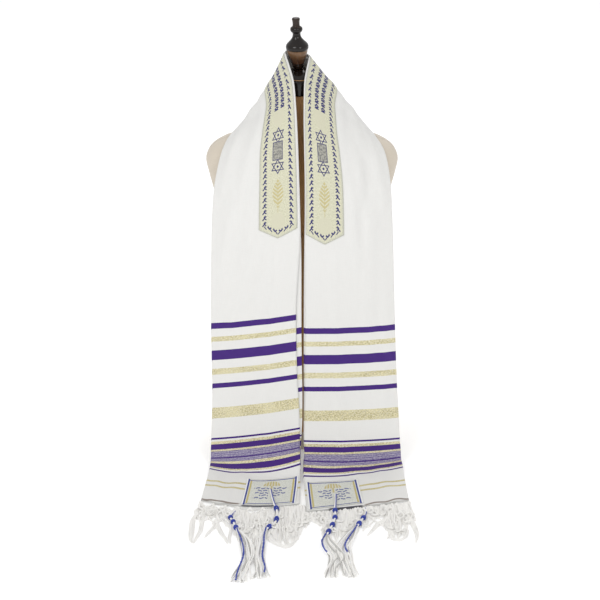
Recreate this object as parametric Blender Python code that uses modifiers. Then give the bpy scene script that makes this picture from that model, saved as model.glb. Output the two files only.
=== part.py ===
"""Prayer scarf, folded lengthwise in three and hung round the neck of a limbless dress form.

Metres, +Z up. The origin is the centre of the form's flat underside, and the front faces -Y.
The scarf's ends come down the front and lie on the surface that the form stands on.
"""

import math

import bmesh
import bpy
import numpy as np
from mathutils import Vector

# The cloth's cut, and how it is folded.
SCARF_LENGTH = 2.04
BAND_WIDTH = 0.173
HALF_LENGTH = SCARF_LENGTH / 2
CLOTH_WALL = 0.0010
LAYER_PITCH = 0.0024
BACK_LAYER_SHORTFALL = 0.022
SEAM_GAP = 0.0003
LYING_HEIGHT = 2 * LAYER_PITCH + CLOTH_WALL / 2
NECK_STRETCH_FROM_HEM = 0.79
SHORT_STEP = 0.001
SHARP_ANGLE = math.radians(40)

# The neckband and the corner patches that are sewn on the front layer.
LEFT_MARGIN = 0.0060
RIGHT_MARGIN = 0.0018
NECKBAND_WIDTH = 0.074
NECKBAND_CORNER_FROM_HEM = 0.610
NECKBAND_TIP_FROM_HEM = 0.592
NECKBAND_TIP_HALF_WIDTH = 0.002
TRIM_WALL = 0.0010
# Each patch's four corners, as (from the hem, across from the neck edge): the hem's inner and
# outer corner, then the upper inner and outer corner.
LEFT_PATCH_CORNERS = ((0.0030, 0.0085), (0.0030, 0.1030), (0.0945, 0.0035), (0.0945, 0.0985))
RIGHT_PATCH_CORNERS = ((0.0030, 0.0040), (0.0090, 0.0965), (0.1030, 0.0030), (0.1000, 0.0920))
PATCH_STEPS = 8
PATCH_EASE = 0.0003

# The drape, from each hem up to the centre of the back: one row for each section across the band.
# Columns: distance from the hem; the neck edge's x, y, z; the outer edge's x, y, z;
# how far the middle is pushed along x, y and z; how far the inner fold peeps past the neck edge.
LEFT_DRAPE = (
    (0.000, -0.003, -0.326, LYING_HEIGHT, -0.187, -0.313, LYING_HEIGHT, 0.000, -0.0170, 0.0000, -0.002),
    (0.055, -0.003, -0.271, 0.0060, -0.182, -0.258, LYING_HEIGHT, 0.000, -0.0150, 0.0000, -0.001),
    (0.100, -0.003, -0.229, 0.0145, -0.178, -0.213, 0.0060, 0.000, -0.0140, -0.0030, 0.000),
    (0.125, -0.003, -0.212, 0.0320, -0.176, -0.188, 0.0075, 0.000, -0.0110, -0.0090, 0.000),
    (0.150, -0.004, -0.198, 0.0485, -0.175, -0.165, 0.0095, 0.000, -0.0090, -0.0020, 0.001),
    (0.170, -0.004, -0.194, 0.0675, -0.175, -0.152, 0.0230, 0.000, -0.0070, 0.0000, 0.002),
    (0.197, -0.004, -0.190, 0.0920, -0.174, -0.147, 0.0475, 0.000, -0.0060, 0.0000, 0.003),
    (0.250, -0.006, -0.178, 0.1405, -0.172, -0.137, 0.0990, 0.000, -0.0060, 0.0000, 0.006),
    (0.303, -0.009, -0.165, 0.1880, -0.171, -0.129, 0.1510, 0.000, -0.0050, 0.0000, 0.009),
    (0.423, -0.011, -0.148, 0.3020, -0.172, -0.112, 0.2680, 0.000, -0.0060, 0.0000, 0.010),
    (0.610, -0.003, -0.129, 0.4750, -0.169, -0.084, 0.4550, 0.000, -0.0100, 0.0000, 0.000),
    (0.700, -0.005, -0.113, 0.5600, -0.164, -0.067, 0.5280, 0.000, -0.0110, 0.0020, -0.002),
    (0.760, -0.007, -0.099, 0.6180, -0.157, -0.053, 0.5660, -0.001, -0.0070, 0.0030, -0.003),
    (0.820, -0.010, -0.078, 0.6780, -0.147, -0.035, 0.5980, 0.002, -0.0020, 0.0040, -0.004),
    (0.875, -0.015, -0.054, 0.7310, -0.138, -0.016, 0.6110, 0.006, 0.0010, 0.0000, -0.005),
    (0.935, -0.031, 0.000, 0.7720, -0.126, 0.006, 0.6180, 0.007, 0.0020, -0.0030, -0.006),
    (0.975, -0.026, 0.026, 0.7680, -0.098, 0.078, 0.6100, 0.005, 0.0030, 0.0000, -0.006),
    (1.020, -0.009, 0.036, 0.7600, -0.009, 0.120, 0.6040, 0.000, 0.0040, 0.0020, -0.006),
)
RIGHT_DRAPE = (
    (0.000, 0.008, -0.355, LYING_HEIGHT, 0.198, -0.313, LYING_HEIGHT, 0.000, -0.0030, 0.0000, -0.002),
    (0.055, 0.006, -0.300, LYING_HEIGHT, 0.195, -0.258, LYING_HEIGHT, 0.000, -0.0040, 0.0000, -0.001),
    (0.100, 0.004, -0.256, 0.0085, 0.193, -0.213, 0.0070, 0.000, -0.0050, -0.0015, 0.000),
    (0.125, 0.003, -0.232, 0.0160, 0.192, -0.188, 0.0110, 0.000, -0.0060, -0.0050, 0.000),
    (0.150, 0.003, -0.210, 0.0265, 0.190, -0.166, 0.0125, 0.000, -0.0080, -0.0030, 0.000),
    (0.170, 0.005, -0.202, 0.0440, 0.189, -0.158, 0.0290, 0.000, -0.0070, 0.0000, 0.000),
    (0.197, 0.004, -0.196, 0.0680, 0.187, -0.155, 0.0530, 0.000, -0.0060, 0.0000, 0.000),
    (0.250, 0.005, -0.181, 0.1150, 0.184, -0.141, 0.1030, 0.000, -0.0050, 0.0000, 0.001),
    (0.303, 0.005, -0.167, 0.1625, 0.181, -0.129, 0.1520, 0.000, -0.0050, 0.0000, 0.001),
    (0.423, 0.006, -0.151, 0.2750, 0.176, -0.112, 0.2660, 0.000, -0.0060, 0.0000, 0.002),
    (0.610, 0.005, -0.130, 0.4620, 0.170, -0.084, 0.4500, 0.000, -0.0100, 0.0000, 0.000),
    (0.700, 0.005, -0.113, 0.5520, 0.166, -0.067, 0.5280, -0.001, -0.0110, 0.0020, -0.002),
    (0.760, 0.004, -0.099, 0.6120, 0.161, -0.053, 0.5660, -0.004, -0.0070, 0.0030, -0.003),
    (0.820, 0.003, -0.078, 0.6720, 0.153, -0.035, 0.5940, -0.007, -0.0020, 0.0040, -0.004),
    (0.875, 0.004, -0.054, 0.7270, 0.1415, -0.016, 0.6085, -0.006, 0.0000, 0.0020, -0.005),
    (0.935, 0.013, 0.000, 0.7630, 0.125, 0.006, 0.6200, -0.0005, 0.0020, 0.0010, -0.006),
    (0.975, 0.008, 0.026, 0.7620, 0.092, 0.078, 0.6110, 0.000, 0.0030, 0.0000, -0.006),
)

# Where the mesh has a row, as a distance from the hem, and a column, as a share of the band.
PANEL_ROWS = (0.0, 0.035, 0.07, 0.0775, 0.085, 0.0925, 0.1, 0.106, 0.112, 0.124, 0.137, 0.15,
              0.172, 0.2, 0.25, 0.31, 0.37, 0.43, 0.49, 0.55, 0.592, 0.61, 0.65, 0.69, 0.74, 0.79)
NECK_ROWS = (0.79, 0.815, 0.84, 0.865, 0.89, 0.912, 0.933, 0.95, 0.966, 0.982, 0.996, 1.009)
BAND_COLUMNS = (0.0, 0.0065, 0.042, 0.0775, 0.109, 0.141, 0.1718)
FOLD_STEPS = 3

# The dress form: height, half width, depth in front of the axis, depth behind it.
FORM_SECTIONS = (
    (0.000, 0.158, 0.098, 0.100),
    (0.004, 0.162, 0.102, 0.104),
    (0.060, 0.168, 0.108, 0.112),
    (0.150, 0.152, 0.098, 0.098),
    (0.240, 0.138, 0.088, 0.082),
    (0.330, 0.146, 0.096, 0.088),
    (0.420, 0.158, 0.104, 0.096),
    (0.500, 0.166, 0.098, 0.098),
    (0.540, 0.1755, 0.090, 0.097),
    (0.566, 0.1805, 0.080, 0.092),
    (0.586, 0.174, 0.071, 0.086),
    (0.600, 0.159, 0.064, 0.079),
    (0.607, 0.143, 0.060, 0.073),
    (0.612, 0.123, 0.057, 0.068),
    (0.621, 0.100, 0.054, 0.061),
    (0.637, 0.075, 0.051, 0.054),
    (0.658, 0.052, 0.046, 0.047),
    (0.680, 0.042, 0.041, 0.042),
    (0.697, 0.037, 0.037, 0.037),
)
FORM_SIDES = 36
NECK_TOP = 0.697

# The turned neck cap and finial: radius and height along the turning axis, top first.
POST_X = -0.005
POST_LEAN = math.radians(2.6)
CAP_PROFILE = (
    (0.000, 0.7410), (0.010, 0.7406), (0.019, 0.7380), (0.027, 0.7335), (0.0325, 0.7290),
    (0.0330, 0.7278), (0.0330, 0.7265), (0.0360, 0.7253), (0.0372, 0.7230),
    (0.0372, 0.7010), (0.0360, NECK_TOP + SEAM_GAP), (0.000, NECK_TOP + SEAM_GAP),
)
FINIAL_PROFILE = (
    (0.000, 0.8380), (0.0062, 0.8376), (0.0077, 0.8355), (0.0070, 0.8320), (0.0066, 0.8260),
    (0.0070, 0.8215), (0.0105, 0.8195), (0.0116, 0.8155), (0.0105, 0.8115), (0.0074, 0.8090),
    (0.0074, 0.8055), (0.0096, 0.7985), (0.0140, 0.7935), (0.0194, 0.7885), (0.0212, 0.7840),
    (0.0207, 0.7785), (0.0188, 0.7715), (0.0163, 0.7650), (0.0139, 0.7585), (0.0119, 0.7530),
    (0.0107, 0.7480), (0.0102, 0.7415), (0.000, 0.7415),
)
TURNED_STEPS = 24

# Fringe: a strip along the hem, two rows of knotted diamonds, and the locks below them.
FRINGE_CELLS = 11
FRINGE_WALL = 0.0024
FRINGE_HEIGHT = 0.0017
FRINGE_STRIP = 0.006
FRINGE_ROW = 0.016
FRINGE_BAR = 0.0012
LOCK_WIDTH = 0.0026
LOCK_GAP = 0.0030
LOCK_STEPS = 5
LOCK_SWAY = 0.012
LOCK_UNEVENNESS = 0.10
HEM_SPLAY = (0.02, 0.10)
LEFT_FRINGE_LENGTH = 0.152
RIGHT_FRINGE_LENGTH = 0.140

# Knotted tassels at the four corners. Columns: x, y, z and radius of the knotted cord.
TASSEL_STRANDS = 8
STRAND_RADIUS = 0.0010
TASSELS = {
    "tassel_outer_left": (
        (
            (-0.1236, -0.3557, 0.0044, 0.0014), (-0.1286, -0.3718, 0.0058, 0.0020),
            (-0.1301, -0.3833, 0.0072, 0.0034), (-0.1277, -0.3893, 0.0062, 0.0022),
            (-0.1247, -0.3991, 0.0071, 0.0034), (-0.1221, -0.4075, 0.0062, 0.0022),
            (-0.119, -0.4204, 0.0072, 0.0036), (-0.1164, -0.4314, 0.0064, 0.0026),
        ),
        (
            (-0.109, -0.4637, 0.0062), (-0.1023, -0.5174, 0.0044), (-0.1038, -0.5634, 0.0030),
            (-0.108, -0.6024, 0.0020),
        ),
        0.015,
    ),
    "tassel_inner_left": (
        (
            (-0.059, -0.2798, 0.0095, 0.0016), (-0.055, -0.3139, 0.0100, 0.0018),
            (-0.0504, -0.3411, 0.0106, 0.0024), (-0.047, -0.353, 0.0098, 0.0035),
            (-0.0455, -0.3668, 0.0064, 0.0022), (-0.0465, -0.3919, 0.0072, 0.0036),
            (-0.0508, -0.4038, 0.0062, 0.0022), (-0.0594, -0.4176, 0.0073, 0.0037),
            (-0.0656, -0.4288, 0.0066, 0.0026),
        ),
        (
            (-0.0703, -0.468, 0.0066), (-0.0706, -0.5149, 0.0050), (-0.071, -0.5566, 0.0030),
            (-0.0718, -0.5889, 0.0020),
        ),
        0.016,
    ),
    "tassel_inner_right": (
        (
            (0.0622, -0.2998, 0.0095, 0.0016), (0.0616, -0.3293, 0.0100, 0.0018),
            (0.0609, -0.3495, 0.0106, 0.0024), (0.0606, -0.3628, 0.0104, 0.0034),
            (0.0608, -0.3706, 0.0072, 0.0022), (0.0601, -0.3839, 0.0073, 0.0036),
            (0.0581, -0.3957, 0.0062, 0.0022), (0.055, -0.4108, 0.0072, 0.0036),
            (0.0513, -0.4215, 0.0062, 0.0022), (0.0477, -0.4352, 0.0073, 0.0037),
            (0.0441, -0.4492, 0.0066, 0.0028),
        ),
        (
            (0.0385, -0.4752, 0.0066), (0.0443, -0.5008, 0.0050), (0.0550, -0.5265, 0.0036),
            (0.0565, -0.5559, 0.0026), (0.0529, -0.5872, 0.0020),
        ),
        0.009,
    ),
    "tassel_outer_right": (
        (
            (0.1151, -0.3443, 0.0044, 0.0014), (0.1169, -0.3586, 0.0052, 0.0018),
            (0.1155, -0.3717, 0.0062, 0.0022), (0.1116, -0.3846, 0.0071, 0.0036),
            (0.1076, -0.3934, 0.0062, 0.0022), (0.1033, -0.4054, 0.0071, 0.0036),
            (0.0991, -0.4167, 0.0064, 0.0026),
        ),
        (
            (0.0921, -0.4536, 0.0066), (0.0806, -0.4937, 0.0050), (0.0785, -0.5296, 0.0034),
            (0.085, -0.5856, 0.0020),
        ),
        0.009,
    ),
}
CORD_SIDES = 8
CORD_STEPS = 2
CORD_END_RISE = 0.001
STRAND_INSET = 0.00025
STRAND_SPREAD_AT_KNOT = 0.35
STRAND_WAVE = 0.0012
STRAND_LAYER = 0.0012
STRAND_LOWEST = 0.0012

# Colours: linear red, green and blue, then roughness and metallic.
MATERIALS = {
    "cloth": ((0.84, 0.84, 0.82), 0.80, 0.0),
    "brocade": ((0.78, 0.74, 0.56), 0.60, 0.0),
    "patch_satin": ((0.66, 0.65, 0.57), 0.50, 0.0),
    "linen": ((0.70, 0.62, 0.52), 0.85, 0.0),
    "dark_wood": ((0.030, 0.020, 0.014), 0.30, 0.0),
    "fringe_yarn": ((0.80, 0.79, 0.76), 0.85, 0.0),
    "tassel_thread": ((0.78, 0.78, 0.80), 0.75, 0.0),
}


def table_slopes(knots, values):
    """The slope of each column at each row, kept flat where a column stops rising or falling."""
    steps = np.diff(knots)
    secants = np.diff(values, axis=0) / steps[:, None]
    slopes = np.zeros_like(values)
    slopes[0] = secants[0]
    slopes[-1] = secants[-1]
    for i in range(1, len(knots) - 1):
        before, after = secants[i - 1], secants[i]
        same_way = before * after > 0
        weight_before = 2 * steps[i] + steps[i - 1]
        weight_after = steps[i] + 2 * steps[i - 1]
        safe_before = np.where(same_way, before, 1.0)
        safe_after = np.where(same_way, after, 1.0)
        mean = (weight_before + weight_after) / (weight_before / safe_before + weight_after / safe_after)
        slopes[i] = np.where(same_way, mean, 0.0)
    return slopes


def smooth_row(knots, values, slopes, at):
    """A row of a table at any place between its own rows."""
    i = int(np.clip(np.searchsorted(knots, at, side="right") - 1, 0, len(knots) - 2))
    step = knots[i + 1] - knots[i]
    t = (at - knots[i]) / step
    start = (1 + 2 * t) * (1 - t) ** 2 * values[i] + t * (1 - t) ** 2 * step * slopes[i]
    end = t * t * (3 - 2 * t) * values[i + 1] + t * t * (t - 1) * step * slopes[i + 1]
    return start + end


def whole_drape():
    """Both tables as one, from the left hem over the back of the neck to the right hem."""
    left = [list(row) for row in LEFT_DRAPE]
    right = [[SCARF_LENGTH - row[0], *row[1:]] for row in reversed(RIGHT_DRAPE)]
    table = np.array(left + right)
    return table[:, 0], table[:, 1:]


DRAPE_KNOTS, DRAPE_ROWS = whole_drape()
DRAPE_SLOPES = table_slopes(DRAPE_KNOTS, DRAPE_ROWS)


def drape_point(along, across):
    """A point of the front layer's middle, `along` from the left hem and `across` from the neck edge."""
    row = smooth_row(DRAPE_KNOTS, DRAPE_ROWS, DRAPE_SLOPES, along)
    share = across / BAND_WIDTH
    push = row[6:9] * 4 * share * (1 - share)
    return row[0:3] * (1 - share) + row[3:6] * share + push


def drape_normal(along, across):
    """The front layer's outward direction."""
    step = SHORT_STEP
    along = min(max(along, step), SCARF_LENGTH - step)
    lengthwise = drape_point(along + step, across) - drape_point(along - step, across)
    widthwise = drape_point(along, across + step) - drape_point(along, across - step)
    normal = np.cross(lengthwise, widthwise)
    return normal / np.linalg.norm(normal)


def drape_offset(along, across, out):
    return drape_point(along, across) + drape_normal(along, across) * out


def fold_section(peep):
    """The folded band's section: (across, out) pairs from the front layer to the back one."""
    radius = LAYER_PITCH / 2
    inner = -peep
    pairs = [(column, 0.0) for column in BAND_COLUMNS[:-1]]
    pairs.append((BAND_WIDTH - radius, 0.0))
    for k in range(1, FOLD_STEPS):
        turn = math.pi * k / FOLD_STEPS
        across = BAND_WIDTH - radius + radius * math.sin(turn)
        pairs.append((across, radius * math.cos(turn) - radius))
    pairs.append((BAND_WIDTH - radius, -LAYER_PITCH))
    pairs += [(column, -LAYER_PITCH) for column in reversed(BAND_COLUMNS[2:-1])]
    pairs.append((inner + radius, -LAYER_PITCH))
    for k in range(1, FOLD_STEPS):
        turn = math.pi * k / FOLD_STEPS
        across = inner + radius - radius * math.sin(turn)
        pairs.append((across, radius * math.cos(turn) - radius - LAYER_PITCH))
    pairs.append((inner + radius, -2 * LAYER_PITCH))
    pairs += [(column, -2 * LAYER_PITCH) for column in BAND_COLUMNS[2:-1]]
    pairs.append((BAND_WIDTH - BACK_LAYER_SHORTFALL, -2 * LAYER_PITCH))
    return pairs


def material(name):
    colour, roughness, metallic = MATERIALS[name]
    made = bpy.data.materials.new(name)
    made.use_nodes = True
    shader = made.node_tree.nodes["Principled BSDF"]
    shader.inputs["Base Color"].default_value = (*colour, 1.0)
    shader.inputs["Roughness"].default_value = roughness
    shader.inputs["Metallic"].default_value = metallic
    return made


def new_object(name, mesh, collection, finish):
    made = bpy.data.objects.new(name, mesh)
    mesh.materials.append(material(finish))
    collection.objects.link(made)
    return made


def mesh_of(name, bm):
    mesh = bpy.data.meshes.new(name)
    bm.to_mesh(mesh)
    bm.free()
    mesh.shade_smooth()
    mesh.set_sharp_from_angle(angle=SHARP_ANGLE)
    return mesh


def closed_mesh(name, bm):
    bmesh.ops.recalc_face_normals(bm, faces=bm.faces)
    return mesh_of(name, bm)


def grid_mesh(name, rows):
    """An open surface through rows of points, facing out."""
    bm = bmesh.new()
    verts = [[bm.verts.new(point) for point in row] for row in rows]
    for lower, upper in zip(verts, verts[1:]):
        for a, b, c, d in zip(lower, lower[1:], upper[1:], upper):
            bm.faces.new((a, d, c, b))
    return mesh_of(name, bm)


def add_wall(made, thickness):
    wall = made.modifiers.new("wall", "SOLIDIFY")
    wall.thickness = thickness
    wall.offset = 0.0


def band_stretch(name, stations, collection):
    """One stretch of the folded scarf, through the stations given as distances from the left hem."""
    rows = []
    for along in stations:
        peep = smooth_row(DRAPE_KNOTS, DRAPE_ROWS, DRAPE_SLOPES, along)[9]
        rows.append([drape_offset(along, across, out) for across, out in fold_section(peep)])
    made = new_object(name, grid_mesh(name, rows), collection, "cloth")
    add_wall(made, CLOTH_WALL)
    return made


def build_scarf(collection):
    half_gap = SEAM_GAP / 2
    panel = [*PANEL_ROWS[:-1], NECK_STRETCH_FROM_HEM - half_gap]
    neck = [NECK_STRETCH_FROM_HEM + half_gap, *NECK_ROWS[1:]]
    band_stretch("scarf_left_end", panel, collection)
    band_stretch("scarf_right_end", [SCARF_LENGTH - d for d in reversed(panel)], collection)
    around = neck + [HALF_LENGTH] + [SCARF_LENGTH - d for d in reversed(neck)]
    band_stretch("scarf_neck_stretch", around, collection)


def neckband_margin(along):
    """How far the neckband lies from the neck edge: less towards the right end."""
    share = (along - NECKBAND_TIP_FROM_HEM) / (SCARF_LENGTH - 2 * NECKBAND_TIP_FROM_HEM)
    return LEFT_MARGIN * (1 - share) + RIGHT_MARGIN * share


def build_neckband(collection):
    """The woven band on the neck edge, with a point at each end."""
    out = CLOTH_WALL / 2 + SEAM_GAP + TRIM_WALL / 2
    middle = NECKBAND_WIDTH / 2
    half = [d for d in PANEL_ROWS[:-1] + NECK_ROWS if d >= NECKBAND_CORNER_FROM_HEM]
    stations = half + [HALF_LENGTH] + [SCARF_LENGTH - d for d in reversed(half)]
    tip = NECKBAND_TIP_HALF_WIDTH
    whole, pointed = (0.0, middle, NECKBAND_WIDTH), (middle - tip, middle, middle + tip)
    places = [(NECKBAND_TIP_FROM_HEM, pointed)] + [(along, whole) for along in stations]
    places.append((SCARF_LENGTH - NECKBAND_TIP_FROM_HEM, pointed))
    rows = []
    for along, columns in places:
        margin = neckband_margin(along)
        rows.append([drape_offset(along, margin + across, out) for across in columns])
    made = new_object("neckband", grid_mesh("neckband", rows), collection, "brocade")
    add_wall(made, TRIM_WALL)


def build_patch(name, corners, from_left, collection):
    """A square patch at the inner corner of one lying end, laid between its four corners."""
    out = CLOTH_WALL / 2 + SEAM_GAP + PATCH_EASE + TRIM_WALL / 2
    hem_inner, hem_outer, upper_inner, upper_outer = np.array(corners)
    shares = [k / PATCH_STEPS for k in range(PATCH_STEPS + 1)]
    rows = []
    for up in shares if from_left else reversed(shares):
        row = []
        for over in shares:
            low = hem_inner * (1 - over) + hem_outer * over
            high = upper_inner * (1 - over) + upper_outer * over
            from_hem, across = low * (1 - up) + high * up
            along = from_hem if from_left else SCARF_LENGTH - from_hem
            row.append(drape_offset(along, across, out))
        rows.append(row)
    made = new_object(name, grid_mesh(name, rows), collection, "patch_satin")
    add_wall(made, TRIM_WALL)


def form_ring(bm, section):
    height, half_width, front, back = section
    ring = bmesh.ops.create_circle(bm, cap_ends=False, segments=FORM_SIDES, radius=1.0)["verts"]
    for vert in ring:
        vert.co.x *= half_width
        vert.co.y *= front if vert.co.y < 0 else back
        vert.co.z = height
    return ring


def build_form(collection):
    """The limbless form, a loft through oval sections with a flat underside."""
    bm = bmesh.new()
    rings = [form_ring(bm, section) for section in FORM_SECTIONS]
    for lower, upper in zip(rings, rings[1:]):
        for k in range(FORM_SIDES):
            j = (k + 1) % FORM_SIDES
            bm.faces.new((lower[k], lower[j], upper[j], upper[k]))
    bm.faces.new(rings[0])
    bm.faces.new(rings[-1])
    new_object("dress_form", closed_mesh("dress_form", bm), collection, "linen")


def turned(name, profile, collection):
    """A turned piece from its outline, leaning about the foot of the post."""
    bm = bmesh.new()
    verts = [bm.verts.new((radius, 0.0, height - NECK_TOP)) for radius, height in profile]
    for a, b in zip(verts, verts[1:]):
        bm.edges.new((a, b))
    made = new_object(name, closed_mesh(name, bm), collection, "dark_wood")
    spin = made.modifiers.new("spin", "SCREW")
    spin.steps = TURNED_STEPS
    spin.render_steps = TURNED_STEPS
    spin.use_merge_vertices = True
    spin.merge_threshold = 0.00005
    made.location = (POST_X, 0.0, NECK_TOP)
    return made


def hem_point(left, share, beyond):
    """A point on the surface, `share` across the hem from the neck edge and `beyond` in front of it."""
    along = 0.0 if left else SCARF_LENGTH
    start = drape_point(along, share * BAND_WIDTH)
    side = -1 if left else 1
    splay = side * (HEM_SPLAY[0] + HEM_SPLAY[1] * share)
    forward = np.array((splay, -1.0, 0.0)) / math.hypot(splay, 1.0)
    at = start + forward * (SEAM_GAP + beyond)
    return Vector((at[0], at[1], FRINGE_HEIGHT))


def lock_path(left, cell, side, length):
    """A lock's own way over the surface: a little sideways sway, unlike its neighbours'."""
    start = FRINGE_STRIP + 3 * FRINGE_ROW
    offset = side * (LOCK_GAP + LOCK_WIDTH) / 2 / BAND_WIDTH
    share = (cell + 0.5) / FRINGE_CELLS + offset
    unevenness = LOCK_UNEVENNESS * (math.sin(2.3 * cell + side) - 1)
    reach = length * (1 + unevenness) - start
    path = []
    for k in range(LOCK_STEPS + 1):
        t = k / LOCK_STEPS
        sway = LOCK_SWAY * t * math.sin(1.7 * cell + 0.4 * side + 2.6 * t)
        point = hem_point(left, share + sway + 0.4 * offset * t, start + reach * t)
        path.append(point)
    return path


def build_fringe(name, left, length, collection):
    """Knotted net and loose locks, drawn flat and given their thickness at the end."""
    bm = bmesh.new()
    cells = FRINGE_CELLS

    def vert(share, beyond):
        return bm.verts.new(hem_point(left, share, beyond))

    top = [vert(i / cells, 0.0) for i in range(cells + 1)]
    strip = [vert(i / cells, FRINGE_STRIP) for i in range(cells + 1)]
    first = [vert((i + 0.5) / cells, FRINGE_STRIP + FRINGE_ROW) for i in range(cells)]
    second = [vert(i / cells, FRINGE_STRIP + 2 * FRINGE_ROW) for i in range(cells + 1)]
    for i in range(cells):
        bm.faces.new((top[i], top[i + 1], strip[i + 1], strip[i]))
    holes = [bm.faces.new((strip[i], strip[i + 1], first[i])) for i in range(cells)]
    holes += [bm.faces.new((strip[i], first[i], second[i], first[i - 1])) for i in range(1, cells)]
    holes.append(bm.faces.new((strip[0], first[0], second[0])))
    holes.append(bm.faces.new((strip[-1], second[-1], first[-1])))
    roots = []
    hem = hem_point(left, 1.0, 0.0) - hem_point(left, 0.0, 0.0)
    half_lock = hem.normalized() * LOCK_WIDTH / 2
    for i in range(cells):
        knot = []
        for side in (-1, 1):
            path = lock_path(left, i, side, length)
            pair = (bm.verts.new(path[0] - half_lock), bm.verts.new(path[0] + half_lock))
            knot += pair
            roots.append((pair, path))
        ring = (second[i], first[i], second[i + 1], knot[3], knot[2], knot[1], knot[0])
        holes.append(bm.faces.new(ring))
    bm.normal_update()
    bmesh.ops.inset_individual(bm, faces=holes, thickness=FRINGE_BAR, use_even_offset=True)
    bmesh.ops.delete(bm, geom=holes, context="FACES_ONLY")
    for pair, path in roots:
        edge = bm.edges.get(pair)
        for before, after in zip(path, path[1:]):
            moved = bmesh.ops.extrude_edge_only(bm, edges=[edge])["geom"]
            verts = [item for item in moved if isinstance(item, bmesh.types.BMVert)]
            bmesh.ops.translate(bm, verts=verts, vec=after - before)
            edge = bm.edges.get(verts)
    bmesh.ops.recalc_face_normals(bm, faces=bm.faces)
    if sum(face.normal.z for face in bm.faces) < 0:
        bmesh.ops.reverse_faces(bm, faces=bm.faces)
    made = new_object(name, mesh_of(name, bm), collection, "fringe_yarn")
    add_wall(made, FRINGE_WALL)


def smooth_path(points, steps):
    """A smooth curve through hand-placed points, with `steps` stretches between each pair."""
    knots = np.arange(len(points), dtype=float)
    values = np.array(points, float)
    slopes = table_slopes(knots, values)
    total = (len(points) - 1) * steps
    return [smooth_row(knots, values, slopes, k / steps) for k in range(total + 1)]


def path_ring(bm, before, here, after, radius, sides, turn=0.0):
    """A ring of points round a path, square to it."""
    way = Vector(after) - Vector(before)
    frame = way.to_track_quat("Z", "Y").to_matrix()
    ring = []
    for k in range(sides):
        angle = 2 * math.pi * k / sides + turn
        spoke = Vector((math.cos(angle), math.sin(angle), 0.0)) * radius
        ring.append(bm.verts.new(Vector(here) + frame @ spoke))
    return ring


def skin(bm, lower, upper):
    for k in range(len(lower)):
        j = (k + 1) % len(lower)
        bm.faces.new((lower[k], lower[j], upper[j], upper[k]))


def strand_path(head_end, route, spread, k):
    """One loose strand, in the lower layer when k is even: it leaves the last knot, then goes its own way."""
    share = (k - (TASSEL_STRANDS - 1) / 2) / ((TASSEL_STRANDS - 1) / 2)
    points = [np.array(head_end)]
    for number, place in enumerate(route):
        t = (number + 1) / len(route)
        widening = STRAND_SPREAD_AT_KNOT + (1 - STRAND_SPREAD_AT_KNOT) * t
        wave = STRAND_WAVE * math.sin(2.1 * k + 3 * t)
        lowest = max(place[2], STRAND_LOWEST + STRAND_LAYER)
        height = lowest + (STRAND_LAYER if k % 2 else -STRAND_LAYER)
        points.append(np.array((place[0] + share * spread * widening, place[1] + wave, height)))
    path = smooth_path(points, 2)
    return [path[0]] + path[2:]


def build_tassel(name, head, route, spread, collection):
    """A knotted cord that ends in loose strands, all one body."""
    bm = bmesh.new()
    path = smooth_path(head, CORD_STEPS)
    rings = []
    for i, place in enumerate(path):
        before = path[max(i - 1, 0)][:3]
        after = path[min(i + 1, len(path) - 1)][:3]
        rings.append(path_ring(bm, before, place[:3], after, place[3], CORD_SIDES))
    for lower, upper in zip(rings, rings[1:]):
        skin(bm, lower, upper)
    bm.faces.new(list(reversed(rings[0])))
    end = Vector(path[-1][:3])
    forward = (end - Vector(path[-2][:3])).normalized()
    centre = bm.verts.new(end + forward * CORD_END_RISE)
    last = rings[-1]
    wedges = [bm.faces.new((last[k], last[(k + 1) % CORD_SIDES], centre)) for k in range(CORD_SIDES)]
    bm.normal_update()
    bmesh.ops.inset_individual(bm, faces=wedges, thickness=STRAND_INSET)
    by_side = sorted(wedges, key=lambda wedge: wedge.calc_center_median().x)
    for k in range(0, TASSEL_STRANDS, 2):
        by_side[k : k + 2] = sorted(by_side[k : k + 2], key=lambda wedge: wedge.calc_center_median().z)
    for k, face in enumerate(by_side):
        start = face.calc_center_median()
        way = strand_path(start, route, spread, k)
        for before, here, after in zip(way, way[1:], [*way[2:], way[-1]]):
            grown = bmesh.ops.extrude_discrete_faces(bm, faces=[face])["faces"][0]
            before, here, after = Vector(before), Vector(here), Vector(after)
            frame = (after - before).to_track_quat("Z", "Y").to_matrix()
            for corner, vert in enumerate(grown.verts):
                angle = 2 * math.pi * corner / 3 + math.radians(90)
                spoke = Vector((math.cos(angle), math.sin(angle), 0.0)) * STRAND_RADIUS
                vert.co = here + frame @ spoke
            face = grown
    new_object(name, closed_mesh(name, bm), collection, "tassel_thread")


def main():
    for old in list(bpy.data.objects):
        bpy.data.objects.remove(old)
    collection = bpy.data.collections.new("prayer_scarf_on_dress_form")
    bpy.context.scene.collection.children.link(collection)
    build_form(collection)
    turned("neck_cap", CAP_PROFILE, collection)
    finial = turned("neck_finial", FINIAL_PROFILE, collection)
    finial.rotation_euler = (0.0, -POST_LEAN, 0.0)
    build_scarf(collection)
    build_neckband(collection)
    build_patch("corner_patch_left", LEFT_PATCH_CORNERS, True, collection)
    build_patch("corner_patch_right", RIGHT_PATCH_CORNERS, False, collection)
    build_fringe("fringe_left", True, LEFT_FRINGE_LENGTH, collection)
    build_fringe("fringe_right", False, RIGHT_FRINGE_LENGTH, collection)
    for name, (head, route, spread) in TASSELS.items():
        build_tassel(name, head, route, spread, collection)


main()
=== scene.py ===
"""Prayer scarf with neckband, corner patches, fringe and tassels, on a limbless dress form.

Metres, +Z up, the front facing -Y. Each operator makes one piece or one group of like pieces.
"""

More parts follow.
